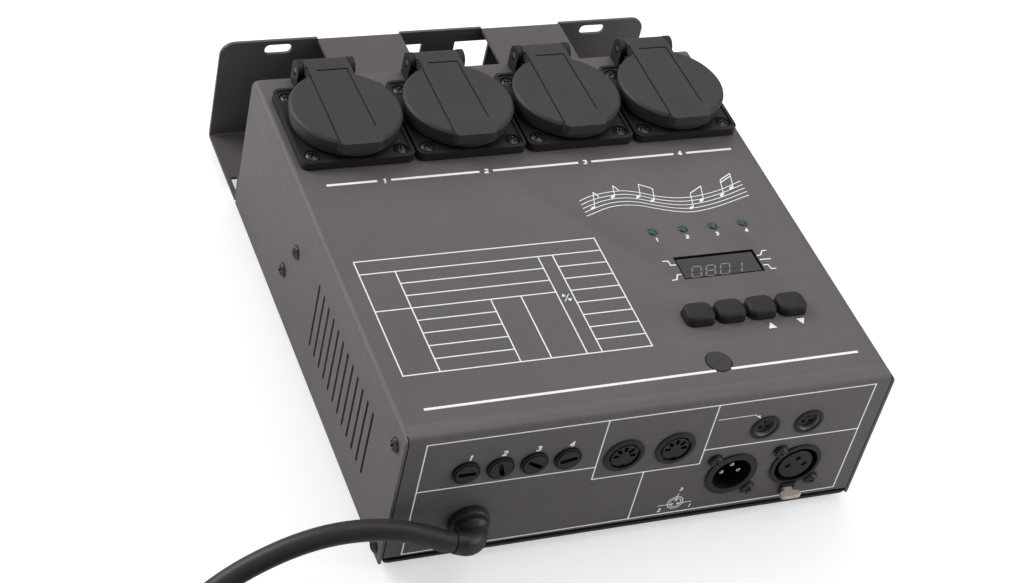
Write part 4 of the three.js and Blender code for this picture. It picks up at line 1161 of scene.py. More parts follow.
    def make_plug(self) -> bpy.types.Object:
        """Makes the plug that lies beside the coil.

        Returns:
            The plug's body.
        """
        way = self.end_way(self.coil_turns, 1)
        start = self.coil_point(self.coil_turns) + way * (self.diameter + FIT)
        turn = Vector((0, 0, 1)).rotation_difference(way).to_matrix().to_4x4()
        place = Matrix.Translation(start) @ turn
        wide, deep, long, offset = self.notch
        notches = [slab(wide, deep, self.plug_face - long, self.plug_face + CLEAR, side * offset)
                   for side in SIDES]
        plug = self.shop.make("plug_body", lathe(self.plug), RELIEF_RUBBER, place=place, sharp=40,
                              slot="lead_rubber", replaces=("mains_plug",), steps=[(Change.CUT, notches)])
        pin = lathe([(radius, self.plug_face + height) for radius, height in self.pin], 24)
        pins = together(pin.moved(shift(0, side * self.pin_offset, 0)) for side in SIDES)
        self.shop.make("plug_pins", pins, NICKEL, place=place, slot="bare_steel")
        return plug

    def make_tie(self) -> bpy.types.Object:
        """Makes the hook-and-loop tie round the coil's bundle.

        Returns:
            The tie.
        """
        angle = 2 * math.pi * self.tie_place
        wide, high, corner = self.tie
        x, y = self.coil_centre
        level = self.shop.space.floor + self.tie_lift + high / 2
        place = (shift(x + self.coil_radius * math.cos(angle), y + self.coil_radius * math.sin(angle), level)
                 @ Matrix.Rotation(angle, 4, "Z") @ Facing.FRONT.value)
        outline = rounded(wide, high, corner)
        inner = rounded(wide - 2 * self.tie_thick, high - 2 * self.tie_thick, corner - self.tie_thick)
        reach = self.tie_half + CLEAR
        return self.shop.make(
            "lead_tie", prism(outline, -self.tie_half, self.tie_half), JACKET, place=place, bevel=0.3,
            slot="lead_rubber", steps=[(Change.CUT, [prism(inner, -reach, reach)])])


# Sheet metal


@dataclass
class CaseShell(Assembly):
    """The folded cover, the screws in its sides, the bracket, the tray and the feet.

    Args:
        panels: The holes that the panels' fittings need, as shells through the cover.
    """

    panels: Sequence[Sequence[Shell]] = ()
    # Thickness of each sheet, and outer radius of its folds.
    sheet: float = 1.2
    fold: float = 3.0
    tray_sheet: float = 1.5
    tray_fold: float = 2.5
    # Slits beside and under the front panel.
    seam: float = 0.5
    reveal: float = 1.7
    # Flanges behind the front panel's sides.
    return_depth: float = 14.0
    return_inset: float = 4.0
    # Slots in the sides: width and length, number, first one, step and the middle's height.
    vent: Point2 = (1.9, 35.4)
    vents: int = 12
    vent_first: float = 33.1
    vent_pitch: float = 6.77
    vent_middle: float = 36.3
    # Screws on each side, back and up, and a head's radius and height.
    screws: Line2 = ((8.0, 62.4), (6.3, 4.7), (138.2, 44.9), (150.2, 23.7))
    screw: Point2 = (3.2, 1.8)
    # Bracket: how far it stands out, its height, its corners and its flange on the rear wall.
    reach: float = 49.4
    bracket_height: float = 56.0
    bracket_corner: float = 7.0
    rear_flange: float = 16.0
    # Its tongues: width, offset from the middle, and lips on the rear wall and on the upright.
    tongue: float = 41.2
    tongue_offset: float = 41.6
    tongue_lips: Point2 = (14.0, 3.6)
    # Its slots: length, width and corner radius, then their inset and height.
    bolt_slot: Point3 = (13.2, 5.4, 2.4)
    bolt_place: Point2 = (28.0, 51.0)
    # Its square openings: both edges from the middle, and from the top.
    window_span: Point2 = (8.5, 26.6)
    window_drop: Point2 = (7.3, 27.3)
    # Notches in its trough: width, two ends and height, then their inset.
    notch: tuple[float, float, float, float] = (4.0, 7.0, 16.0, 6.0)
    notch_inset: float = 2.0
    # Feet: inset from the side and the end, and profile from the floor and from the tray.
    foot_inset: Point2 = (17.0, 22.0)
    foot_sole: Line2 = (
        (0, 2), (2.5, 2), (2.6, 0.2), (2.8, 0), (5.7, 0), (6.1, 0.2), (6.3, 0.6))
    foot_crown: Line2 = ((7.0, -0.9), (6.9, -0.45), (6.6, -0.3), (0, -0.3))

    def build(self) -> None:
        """Makes every piece of the case."""
        self.make_cover()
        self.make_bracket()
        self.make_side_screws()
        self.make_feet()
        self.shop.dress("base_tray", TRAY_COAT)

    def make_cover(self) -> None:
        """Makes the cover with its vents and holes."""
        width, depth, height = self.shop.space.size
        seam, bottom, fold = self.sheet + self.seam, self.tray_sheet + self.reveal, self.fold
        hood = folded([(0, 0), (0, height), (width, height), (width, 0)], self.sheet, fold)
        front = folded([(0, bottom), (0, height), (fold + CLEAR, height)], self.sheet, fold)
        apron = prism(front, seam, width - seam).moved(ALONG_X)
        inside = block((self.sheet, -CLEAR, -CLEAR), (width - self.sheet, fold, height + CLEAR))
        square = [(-CLEAR, -fold), *arc((fold, -fold), fold, 180, 90, 12), (fold, CLEAR), (-CLEAR, CLEAR)]
        corner = prism(square, -CLEAR, width + CLEAR).moved(shift(0, 0, height) @ ALONG_X)
        returns = [block((x, self.sheet / 2, bottom + self.return_inset),
                         (x + self.sheet, self.return_depth, height - self.return_inset))
                   for x in (seam, width - seam - self.sheet)]
        outline = rounded(*self.vent, self.vent[0] / 2)
        places = [self.vent_first + i * self.vent_pitch for i in range(self.vents)]
        vents = [prism(shifted(outline, place, self.vent_middle), -CLEAR, width + CLEAR).moved(ALONG_X)
                 for place in places]
        self.shop.make(
            "folded_cover", prism(hood, -depth, 0).moved(Facing.FRONT.value), COVER_COAT, slot="cover_paint",
            replaces=("cover",),
            steps=[(Change.CUT, [inside]), (Change.CUT, [corner]), (Change.JOIN, [apron]),
                   (Change.JOIN, returns), (Change.CUT, vents),
                   *((Change.CUT, group) for group in self.panels)])

    def make_bracket(self) -> None:
        """Makes the hanging bracket behind the case."""
        width, depth = self.shop.space.size.xy
        near, far, top = depth + FIT, depth + self.reach, self.bracket_height
        middle, half = width / 2, self.tongue / 2
        wall, hook = self.tongue_lips
        section = folded([(far, top), (far, 0), (near, 0), (near, self.rear_flange)], self.tray_sheet,
                         self.tray_fold)
        strip = folded([(near, top - wall), (near, top), (far, top), (far, top - hook)], self.tray_sheet,
                       self.tray_fold)
        centres = [middle + side * self.tongue_offset for side in SIDES]
        tongues = [prism(strip, x - half, x + half).moved(ALONG_X) for x in centres]
        folds = [block((x - half, near, top - self.tray_fold), (x + half, far + CLEAR, top + CLEAR))
                 for x in centres]
        mirrored = shift(width, far, top) @ Matrix.Scale(-1, 4, (1, 0, 0))
        corners = [rounded_corner(self.bracket_corner).moved(place)
                   for place in (shift(0, far, top), mirrored)]
        inset, level = self.bolt_place
        slots = [prism(rounded(*self.bolt_slot, 8), -CLEAR, CLEAR).moved(Facing.FRONT.at(x, far, level))
                 for x in (inset, width - inset)]
        upper, lower = self.window_drop
        spans = [sorted(middle + side * reach for reach in self.window_span) for side in SIDES]
        windows = [block((left, far - CLEAR, top - lower), (right, far + CLEAR, top - upper))
                   for left, right in spans]
        wide, start, stop, high = self.notch
        notches = [block((x, near + start, -CLEAR), (x + wide, near + stop, high))
                   for x in (self.notch_inset, width - self.notch_inset - wide)]
        self.shop.make(
            "wall_bracket", prism(section, 0, width).moved(ALONG_X), BRACKET_COAT, slot="bracket_paint",
            replaces=("hanging_bracket",),
            steps=[(Change.CUT, folds), (Change.CUT, corners), (Change.JOIN, tongues), (Change.CUT, slots),
                   (Change.CUT, windows), (Change.CUT, notches)])

    def make_side_screws(self) -> None:
        """Makes the screws that hold the cover to the tray."""
        width = self.shop.space.size.x
        for number, (y, z) in enumerate(self.screws, 1):
            for side, place in (("left", Facing.LEFT.at(0, y, z)), ("right", Facing.RIGHT.at(width, y, z))):
                self.shop.screw(f"cover_screw_{side}_{number}", place, *self.screw, turn=20.0 + 31.0 * number)

    def make_feet(self) -> None:
        """Makes the four rubber feet."""
        width, depth = self.shop.space.size.xy
        sole = [(radius, self.shop.space.floor + height) for radius, height in self.foot_sole]
        foot = lathe([*sole, *self.foot_crown], 48)
        side, end = self.foot_inset
        places = ((side, end), (width - side, end), (side, depth - end), (width - side, depth - end))
        for number, (x, y) in enumerate(places, 1):
            self.shop.make(f"rubber_foot_{number}", foot, FOOT_RUBBER, place=shift(x, y, 0),
                           slot="foot_rubber", replaces=(f"foot_{number}",))


# Mains sockets


@dataclass
class MainsSockets(Assembly):
    """The four mains sockets with their lids, pins and screws."""

    count: int = 4
    first: float = 30.5
    pitch: float = 52.7
    back: float = 184.5
    # Flange: side, corner radius and height, its rim, and how far its face lies below that.
    flange: float = 51.6
    corner: float = 3.6
    flange_height: float = 4.3
    rim: float = 1.5
    recess: float = 0.6
    # Collar round the well, body under the flange, and well.
    collar: float = 22.2
    collar_height: float = 6.7
    barrel: float = 21.6
    barrel_depth: float = 33.0
    well: float = 19.6
    well_depth: float = 11.5
    # Holes and sleeves of the contacts. The sleeve is counted from the well's floor.
    contact: float = 2.8
    contact_offset: float = 9.5
    contact_depth: float = 16.0
    sleeve: Line2 = ((2.6, -12), (2.6, -0.6), (2.2, -0.6), (2.2, -12))
    # Earth clips, inwards from the well's wall.
    clip: Line2 = ((0.25, 1.5), (0.9, 2.6), (2.2, 0.4), (2.6, -1.6), (1.0, -4.6))
    clip_half: float = 1.9
    # Hinge ears: half the width over both, their shelf, and an ear with its oval dent.
    shelf: float = 13.4
    shelf_height: float = 2.8
    ear: float = 4.4
    ear_thick: float = 2.6
    dent: Point3 = (2.5, 1.7, 0.6)
    # Hinge: its axis, back and up, and the radii of its hole and its barrel.
    pivot: Point2 = (32.5, 8.8)
    bore: float = 1.7
    knuckle: float = 4.2
    # Lid: radius, lower edge, top, the top's thickness, and the edge's profile, inwards and down.
    lid: float = 25.3
    lid_low: float = 4.8
    lid_top: float = 13.0
    lid_skin: float = 2.2
    lid_edge: Line2 = ((0.1, 1.6), (0.35, 0.9), (1.1, 0.2), (1.6, 0.0))
    # Finger lip with cut corners, and half the width of the strap and of its grooves.
    lip_height: float = 5.0
    lip_corner: float = 2.2
    strap: float = 10.5
    groove: Point2 = (0.45, 0.6)
    # Seal, counted from the lid's inner face.
    seal: Line2 = ((18.2, 0.1), (18.6, -1.2), (20.2, -1.6), (21.0, -1.2), (21.2, 0.1))
    # Screws: their places both ways, their seats, and a head's radius and height.
    screw_reach: float = 20.2
    screw_back: float = 19.8
    screw_seat: float = 2.7
    seat: float = 3.6
    screw: Point2 = (3.1, 1.5)
    # Heights up to which the seats and the well are cut free.
    free: Point2 = (9.0, 20.0)

    def places(self) -> list[float]:
        """Returns the place of every socket across the case."""
        return [self.first + i * self.pitch for i in range(self.count)]

    def holes(self) -> list[Shell]:
        """Returns what the sockets cut out of the cover."""
        top = self.shop.space.size.z
        return [disc(self.barrel + FIT, top - CLEAR, top + CLEAR, x, self.back, 96)
                for x in self.places()]

    def build(self) -> None:
        """Makes every socket."""
        for number, x in enumerate(self.places(), 1):
            place = shift(x, self.back, self.shop.space.size.z)
            self.make_body(number, place)
            self.make_contacts(number, place)
            self.make_lid(number, place)
            self.shop.dress(f"lid_pin_{number}", BLACK_SCREW)
            for index, (side, way) in enumerate(((-1, -1), (1, -1), (-1, 1), (1, 1)), 1):
                spot = shift(side * self.screw_reach, self.screw_row(way), self.screw_seat)
                self.shop.screw(f"socket_{number}_screw_{index}", place @ spot, *self.screw,
                                turn=17.0 * index + 41.0 * number)

    def screw_row(self, way: int) -> float:
        """Returns the place of the front or the back row of screws."""
        return way * self.screw_back - FIT

    def axle(self, radius: float, reach: float, sides: int) -> Shell:
        """Lays a rod on the hinge's axis.

        Args:
            radius: The rod's radius.
            reach: Half its length.
            sides: Number of sides.

        Returns:
            The rod, in the socket's own place.
        """
        lying = shift(0, *self.pivot) @ Matrix.Rotation(math.pi / 2, 4, "Y")
        return disc(radius, -reach, reach, sides=sides).moved(lying)

    def make_body(self, number: int, place: Matrix) -> None:
        """Makes a socket's flange, hinge ears, collar and barrel.

        Args:
            number: The socket's number.
            place: The socket's place on the case's top.
        """
        back, high = self.pivot
        face = self.flange - 2 * self.rim
        tray = prism(rounded(face, face, self.corner - 1.2, 8), self.flange_height - self.recess,
                     self.flange_height + CLEAR)
        shelf = block((-self.shelf, self.flange / 2 - self.corner, FIT),
                      (self.shelf, back + self.ear, self.shelf_height))
        outline = [(back - self.ear, FIT), (back + self.ear, FIT),
                   *arc((back, high), self.ear, 0, 180, 20)]
        ears = [prism(outline, x, x + self.ear_thick).moved(ALONG_X)
                for x in (-self.shelf, self.shelf - self.ear_thick)]
        tall, wide, deep = self.dent
        oval = [(back + wide * x, high - 0.4 + tall * y) for x, y in arc((0, 0), 1, 0, 345, 23)]
        dents = [prism(oval, low, low + deep + 1).moved(ALONG_X)
                 for low in (-self.shelf - 1, self.shelf - deep)]
        contacts = [disc(self.contact, -self.well_depth - self.contact_depth, 0, side * self.contact_offset,
                         0, 32) for side in SIDES]
        seats = [disc(self.seat, self.screw_seat, self.free[0], side * self.screw_reach,
                      self.screw_row(way), 40) for side in SIDES for way in SIDES]
        self.shop.make(
            f"mains_socket_{number}",
            prism(rounded(self.flange, self.flange, self.corner, 8), FIT, self.flange_height),
            SOCKET_NYLON, place=place, slot="socket_plastic", replaces=(f"socket_body_{number}",), bevel=0.3,
            steps=[(Change.CUT, [tray]), (Change.CUT, seats), (Change.JOIN, [shelf]), (Change.JOIN, ears),
                   (Change.JOIN, [disc(self.collar, 1.0, self.collar_height, sides=96)]),
                   (Change.JOIN, [disc(self.barrel, -self.barrel_depth, 2.0, sides=96)]),
                   (Change.CUT, [disc(self.well, -self.well_depth, self.free[1], sides=96)]),
                   (Change.CUT, contacts), (Change.CUT, [self.axle(self.bore, self.shelf + CLEAR, 24)]),
                   (Change.CUT, dents)])

    def make_contacts(self, number: int, place: Matrix) -> None:
        """Makes the sleeves and earth clips inside a socket's well.

        Args:
            number: The socket's number.
            place: The socket's place on the case's top.
        """
        floor = -self.well_depth
        sleeve = lathe([(radius, floor + height) for radius, height in self.sleeve], 32, True)
        sleeves = together(sleeve.moved(shift(side * self.contact_offset, 0, 0)) for side in SIDES)
        tip, root = self.clip[0][0], self.clip[1][0]
        clip = [(self.well - tip, floor + FIT), *((self.well - inward, z) for inward, z in self.clip),
                (self.well - root, floor + FIT)]
        clips = together(prism(clip, -self.clip_half, self.clip_half).moved(spin(turn) @ ALONG_X)
                         for turn in (0, 180))
        self.shop.make(f"socket_contacts_{number}", sleeves + clips, TINNED, place=place, slot="bare_steel",
                       bevel=0.1)

    def make_lid(self, number: int, place: Matrix) -> None:
        """Makes a lid with its strap, lip, barrel and seal.

        Args:
            number: The socket's number.
            place: The socket's place on the case's top.
        """
        body = Body.LID.numbered(number)
        low, top, radius, strap = self.lid_low, self.lid_top, self.lid, self.strap
        back, skin = self.pivot[0], self.lid_top - self.lid_skin
        dish = lathe([(0, skin), (radius - 2.1, skin), (radius - 2.1, low), (radius - 1.2, low),
                      *((radius - inward, top - drop) for inward, drop in self.lid_edge), (0, top)], 128)
        cover = block((-strap, 8, top - 3.8), (strap, back, top))
        front, corner = -radius - FIT / 2, self.lip_corner
        lip = prism([(-strap, front + corner), (corner - strap, front), (strap - corner, front),
                     (strap, front + corner), (strap, 5 - radius), (-strap, 5 - radius)],
                    top - self.lip_height, top)
        half = self.shelf - self.ear_thick - FIT
        wide, deep = self.groove
        grooves = [block((-10.0 - wide, front - 1, top - deep), (-10.0 + wide, back - 3.6, top + 1)),
                   prism([(9.0 - wide, -14.5), (9.0 + wide, -14.5), (8.0 + wide, 26.2), (8.0 - wide, 26.2)],
                         top - deep, top + 1),
                   block((-6.0, 25.8 - wide, top - deep), (7.6, 25.8 + wide, top + 1))]
        self.shop.make(
            f"hinged_lid_{number}", dish, LID_NYLON, body, place=place, slot="lid_plastic",
            replaces=(f"socket_lid_{number}",), bevel=0.3,
            steps=[(Change.JOIN, [cover]), (Change.JOIN, [lip]),
                   (Change.JOIN, [self.axle(self.knuckle, half, 48)]),
                   (Change.CUT, [self.axle(self.bore, half + CLEAR, 24)]),
                   *((Change.CUT, [groove]) for groove in grooves)])
        seal = lathe([(across, skin + height) for across, height in self.seal], 96, True)
        self.shop.make(f"lid_seal_{number}", seal, FOOT_RUBBER, body, place=place, slot="foot_rubber")


# Control panel


@dataclass
class ControlPanel(Assembly):
    """The keys, lamps, display and infrared window on the top."""

    # Keys: places across, their row, and inset and drop of the rings that make their crowns.
    keys: Row = (145.2, 159.8, 174.4, 189.0)
    key_back: float = 46.8
    key_size: Point2 = (13.0, 10.8)
    key_corner: float = 3.4
    key_rise: float = 5.0
    key_skirt: float = 2.7
    key_crown: Line2 = ((2.6, 0.3), (3.6, 0.13), (4.6, 0.02))
    # Lamps: places across, their row, radius and profile.
    lamps: Row = (146.8, 161.5, 176.2, 190.9)
    lamp_back: float = 100.4
    lamp: float = 2.05
    lamp_body: Line2 = ((0, -11.9), (2.9, -11.9), (2.9, -10.9), (2.05, -10.9))
    # Display: left, front, width and depth, and the width, top and underside of the dark frame painted as
    # shade in its gap.
    window: tuple[float, float, float, float] = (149.4, 69.7, 38.8, 13.9)
    gasket: Point3 = (0.6, 0.02, 0.95)
    # Infrared window: place and radius, and its profile inwards from there.
    eye: Point3 = (143.6, 20.7, 5.9)
    eye_rim: Line2 = (
        (-1.8, -3.0), (-1.8, -1.5), (0.3, -1.5), (0.3, 0.15), (0.45, 0.38), (0.8, 0.5))
    # Digits: the lit segments of each, their places and size, and their lean for each unit of height.
    digits: tuple[str, ...] = ("abcdef", "abcdefg", "abcdef", "bc")
    digit_places: Row = (153.4, 160.2, 167.2, 173.2)
    digit_front: float = 70.8
    digit_size: Point2 = (4.3, 6.3)
    digit_lean: float = 0.42
    digit_stroke: float = 0.55
    digit_gap: float = 0.45
    digit_drop: float = 0.5

    def holes(self) -> list[Shell]:
        """Gathers what the control panel cuts out of the cover.

        Returns:
            The holes of the keys, the lamps, the display and the infrared window.
        """
        low, high = (self.shop.space.size.z + reach for reach in (-CLEAR, CLEAR))
        lamps = [disc(self.lamp + FIT / 2, low, high, x, self.lamp_back, 32) for x in self.lamps]
        left, front, wide, deep = self.window
        window = block((left, front, low), (left + wide, front + deep, high))
        x, y, radius = self.eye
        return [prism(self.key_hole(), low, high), *lamps, window, disc(radius, low, high, x, y, 64)]

    def key_hole(self) -> list[Point2]:
        """Draws the keys' scalloped hole.

        Returns:
            Its outline, counter-clockwise.
        """
        half, depth = (size / 2 + FIT for size in self.key_size)
        corner = self.key_corner
        low, high = self.key_back - depth + corner, self.key_back + depth - corner
        front = [point for x in self.keys for point in (
            *arc((x - half + corner, low), corner, 180, 270),
            *arc((x + half - corner, low), corner, 270, 355))]
        back = [point for x in reversed(self.keys) for point in (
            *arc((x + half - corner, high), corner, 0, 90),
            *arc((x - half + corner, high), corner, 90, 175))]
        return front + back

    def build(self) -> None:
        """Makes every piece of the control panel."""
        top = self.shop.space.size.z
        for number, x in enumerate(self.keys, 1):
            self.shop.make(f"key_cap_{number}", self.key_shell(), KEY_ABS, Body.KEY.numbered(number),
                           place=shift(x, self.key_back, top), sharp=60, slot="button_plastic",
                           replaces=(f"button_{number}",))
        dome = [(self.lamp * across, 0.1 + height) for across, height in arc((0, 0), 1, 0, 80, 8)]
        lens = lathe([*self.lamp_body, *dome, (0, 1.1)], 48)
        for number, x in enumerate(self.lamps, 1):
            self.shop.make(f"lamp_lens_{number}", lens, LAMP_EPOXY, place=shift(x, self.lamp_back, top),
                           slot="lamp_lens", replaces=(f"lamp_{number}",))
        x, y, radius = self.eye
        rim = [(radius - inward, height) for inward, height in self.eye_rim]
        self.shop.make("infrared_lens", lathe([(0, rim[0][1]), *rim, (0, rim[-1][1])], 96), EYE_ACRYLIC,
                       place=shift(x, y, top), slot="smoked_plastic", replaces=("infrared_window",))
        self.shop.dress("display_window", SMOKED_ACRYLIC)
        self.make_gasket()
        self.make_digits()

    def key_shell(self) -> Shell:
        """Draws a key with a cushion-shaped crown.

        Returns:
            The key, about its middle at the height of the cover's top.
        """
        width, depth = self.key_size
        shoulder = self.key_rise - 2.4
        rings = [(0.0, -self.key_skirt), (0.0, shoulder)]
        rings += [(1.7 * (1 - across), shoulder + 1.9 * up) for across, up in arc((0, 0), 1, 0, 90, 8)[1:]]
        rings += [(inset, self.key_rise - drop) for inset, drop in self.key_crown]
        lines = []
        for inset, height in rings:
            wide, deep = width - 2 * inset, depth - 2 * inset
            radius = min(self.key_corner - 0.35 * inset, deep / 2 - 0.02)
            lines.append([Vector((x, y, height)) for x, y in rounded(wide, deep, radius, 8)])
        return lofted(lines)

    def make_gasket(self) -> None:
        """Makes the near-black foam frame round the display, painted shade in the gap round the window."""
        left, front, wide, deep = self.window
        band, high, low = self.gasket
        x, y, top = left + wide / 2, front + deep / 2, self.shop.space.size.z
        frame = slab(wide - 0.02, deep - 0.02, top - low, top - high, x, y)
        inside = slab(wide - 2 * band, deep - 2 * band, top - 2, top + 1, x, y)
        self.shop.make("window_gap_shade", frame, GAP_SHADE_FOAM, slot="smoked_plastic",
                       steps=[(Change.CUT, [inside])])

    def make_digits(self) -> None:
        """Makes the display's seven-segment digits under the smoked window."""
        wide, high = self.digit_size
        cells = {"a": ((0, 1), (1, 1)), "b": ((1, 1), (1, 0.5)), "c": ((1, 0.5), (1, 0)),
                 "d": ((0, 0), (1, 0)), "e": ((0, 0.5), (0, 0)), "f": ((0, 1), (0, 0.5)),
                 "g": ((0, 0.5), (1, 0.5))}
        level = self.shop.space.size.z - self.digit_drop
        kinds = (("lit_segments", SEGMENT_INK, True), ("unlit_segments", DARK_INK, False))
        for name, finish, is_lit in kinds:
            shells = []
            for left, lit in zip(self.digit_places, self.digits):
                for cell in (ends for key, ends in cells.items() if (key in lit) == is_lit):
                    a, b = (Vector((left + wide * x + self.digit_lean * high * y,
                                    self.digit_front + high * y)) for x, y in cell)
                    way = (b - a).normalized() * self.digit_gap
                    shells.append(ribbon([tuple(a + way), tuple(b - way)], self.digit_stroke, level + 0.01,
                                         level + 0.04))
            self.shop.make(name, together(shells), finish, slot="smoked_plastic")


# Front panel


@dataclass
class FrontPanel(Assembly):
    """The fuses, the round sockets and the three-pole sockets on the front."""

    # Fuses: places across, the row's height, the holes' radius, and holders, caps and their slots.
    fuses: Row = (28.7, 43.3, 57.9, 72.5)
    fuse_height: float = 49.7
    fuse_hole: float = 5.9
    fuse_holder: Line2 = (
        (0, -34), (5.6, -34), (5.6, 0.3), (5.9, 0.3), (5.9, 0.85), (5.8, 1.1), (5.6, 1.2), (5.3, 1.2),
        (5.3, 0.3), (3.9, 0.3), (3.9, -18.3), (0, -18.3))
    fuse_cap: Line2 = (
        (0, -18), (3.5, -18), (3.5, 0.6), (5.0, 0.6), (5.0, 1.3), (4.9, 1.5), (4.65, 1.6), (0, 1.6))
    fuse_slot: Point3 = (7.6, 2.0, 0.6)
    tilts: Row = (0.0, 110.0, -34.0, 12.0)
    # Five-pole sockets, and from their middle to the slots and to the contacts.
    dins: Row = (98.3, 121.5)
    din_height: float = 46.4
    din_hole: float = 8.2
    din: Line2 = (
        (0, -12), (7.9, -12), (7.9, 0.3), (9.1, 0.3), (9.1, 0.5), (8.95, 0.65), (8.4, 0.75), (8.2, 0.9),
        (8.0, 1.0), (7.2, 1.0), (6.9, 0.8), (6.9, -5), (5.9, -5), (5.9, 0.45), (5.75, 0.6), (0, 0.6))
    din_lining: Line2 = ((6.85, -4.9), (6.85, -0.9), (6.55, -0.9), (6.55, -4.9))
    din_slot: Point3 = (2.9, 1.6, 0.75)
    din_reach: Point2 = (3.7, 3.5)
    # Small round sockets.
    links: Row = (161.9, 182.5)
    link_height: float = 51.4
    link_hole: float = 5.9
    link: Line2 = (
        (0, -11), (5.6, -11), (5.6, 0.3), (6.7, 0.3), (6.7, 0.5), (6.5, 0.62), (6.1, 0.68), (5.9, 0.8),
        (5.7, 0.9), (5.1, 0.9), (4.8, 0.75), (4.8, -1.3), (0, -1.3))
    link_lining: Line2 = ((4.75, -1.25), (4.75, 0.2), (4.6, 0.35), (4.45, 0.2), (4.45, -1.25))
    # Three-pole sockets: the circle of the poles, and the outer part's profile with either well.
    poles: Row = (153.4, 184.3)
    pole_height: float = 24.7
    pole_hole: float = 11.5
    pole_circle: float = 3.96
    bezel: Line2 = (
        (0, -20), (11.2, -20), (11.2, 0.3), (12, 0.3), (12, 0.6), (11.85, 0.8), (11.4, 1.0))
    plug_well: Line2 = ((9.3, 1.0), (8.9, 0.9), (8.7, 0.6), (8.7, -13), (0, -13))
    hole_well: Line2 = (
        (10.4, 1.0), (10.05, 0.9), (9.9, 0.6), (9.9, -13), (7.9, -13), (7.9, 0.3), (7.7, 0.5), (0, 0.5))
    pin: Line2 = ((0, -12.9), (1.2, -12.9), (1.2, -1.4), (1.05, -1.05), (0.6, -0.85), (0, -0.8))
    cup: Line2 = ((1.35, -9.4), (1.35, -0.6), (1.1, -0.6), (1.1, -9.4))
    # Their screw ears, and a screw head's radius and height.
    ear: Line2 = ((0, 0.3), (3.3, 0.3), (3.3, 0.75), (3.1, 1.0), (0, 1.0))
    ear_reach: float = 10.25
    screw: Point2 = (2.6, 1.4)
    # Latch: its slot, the width, depth and corners of its head, and half width and ends of its neck.
    latch_slot: Point3 = (2.8, -16.5, -12.2)
    latch_head: Point3 = (9.8, 3.6, 1.75)
    latch_neck: Point3 = (2.2, -2.6, 15.2)
    latch_thick: float = 2.0
    latch_drop: float = 13.9
    # Hole of the mains lead.
    lead: Point3 = (34.9, 20.0, 6.5)

    def holes(self) -> list[Shell]:
        """Gathers what the front panel's fittings cut out of the cover.

        Returns:
            The round holes, the latch's slot and the mains lead's hole.
        """
        half, low, high = self.latch_slot
        across, level = self.poles[1], self.pole_height
        slot = block((across - half, -CLEAR, level + low), (across + half, CLEAR, level + high))
        rows = ((self.fuses, self.fuse_height, self.fuse_hole),
                (self.dins, self.din_height, self.din_hole),
                (self.links, self.link_height, self.link_hole),
                (self.poles, self.pole_height, self.pole_hole))
        holes = [(x, height, radius) for places, height, radius in rows for x in places]
        rods = [disc(radius, -CLEAR, CLEAR).moved(Facing.FRONT.at(x, 0, z))
                for x, z, radius in (*holes, self.lead)]
        return [*rods[:-1], slot, rods[-1]]

    def build(self) -> None:
        """Makes every fitting of the front panel."""
        self.make_fuses()
        self.make_five_pole_sockets()
        self.make_small_sockets()
        self.make_plug_socket()
        self.make_hole_socket()
        self.make_latch()

    def make_fuses(self) -> None:
        """Makes the fuse holders and their slotted caps."""
        notch = prism(rounded(*self.fuse_slot), -0.6, 8)
        for number, (x, tilt) in enumerate(zip(self.fuses, self.tilts), 1):
            place = Facing.FRONT.at(x, 0, self.fuse_height)
            self.shop.make(f"fuse_body_{number}", lathe(self.fuse_holder), HOLDER_NYLON, place=place,
                           slot="connector_plastic", replaces=(f"fuse_holder_{number}",), sharp=40)
            self.shop.make(f"fuse_screw_cap_{number}", lathe(self.fuse_cap), CONNECTOR_NYLON,
                           Body.CAP.numbered(number), place=place @ spin(tilt), slot="connector_plastic",
                           replaces=(f"fuse_cap_{number}",), sharp=40, steps=[(Change.CUT, [notch])])

    def make_five_pole_sockets(self) -> None:
        """Makes the two sockets with five poles and a key."""
        slot_reach, cup_reach = self.din_reach
        slots = [prism(rounded(*self.din_slot), -3.4, CLEAR).moved(spin(45.0 * i) @ shift(slot_reach, 0, 0))
                 for i in range(5)]
        key = block((-1, -6.2, -3.4), (1, -4.6, CLEAR))
        cups = together(disc(0.6, -3.3, -2.2, x, y, 20) for x, y in arc((0, 0), cup_reach, 0, 180, 4))
        for name, x in zip(("din_in", "din_thru"), self.dins):
            place = Facing.FRONT.at(x, 0, self.din_height)
            self.shop.make(f"{name}_body", lathe(self.din, 80), CONNECTOR_NYLON, place=place,
                           slot="connector_plastic", replaces=(f"{name}_socket",), sharp=40,
                           steps=[(Change.CUT, slots), (Change.CUT, [key])])
            self.shop.make(f"{name}_contacts", cups + lathe(self.din_lining, 80, True), TINNED, place=place,
                           slot="bare_steel")

    def make_small_sockets(self) -> None:
        """Makes the two small sockets with three poles."""
        spots = arc((0, 0), 2, 90, 330, 2)
        holes = [disc(0.85, -3.6, CLEAR, x, y, 24) for x, y in spots]
        cups = together(disc(0.5, -3.5, -2.0, x, y, 16) for x, y in spots)
        for name, x in zip(("link_in", "link_out"), self.links):
            place = Facing.FRONT.at(x, 0, self.link_height)
            self.shop.make(f"{name}_body", lathe(self.link), HOLDER_NYLON, place=place,
                           slot="connector_plastic", replaces=(f"{name}_socket",), sharp=40,
                           steps=[(Change.CUT, holes)])
            self.shop.make(f"{name}_contacts", cups + lathe(self.link_lining, 64, True), TINNED, place=place,
                           slot="bare_steel")

    def pole_spots(self) -> list[Point2]:
        """Returns the places of the three poles about a socket's middle."""
        return arc((0, 0), self.pole_circle, 0, 180, 2)

    def ears(self) -> list[Shell]:
        """Returns the two screw ears of a three-pole socket."""
        return [lathe(self.ear, 48).moved(shift(-side * self.ear_reach, side * self.ear_reach, 0))
                for side in SIDES]

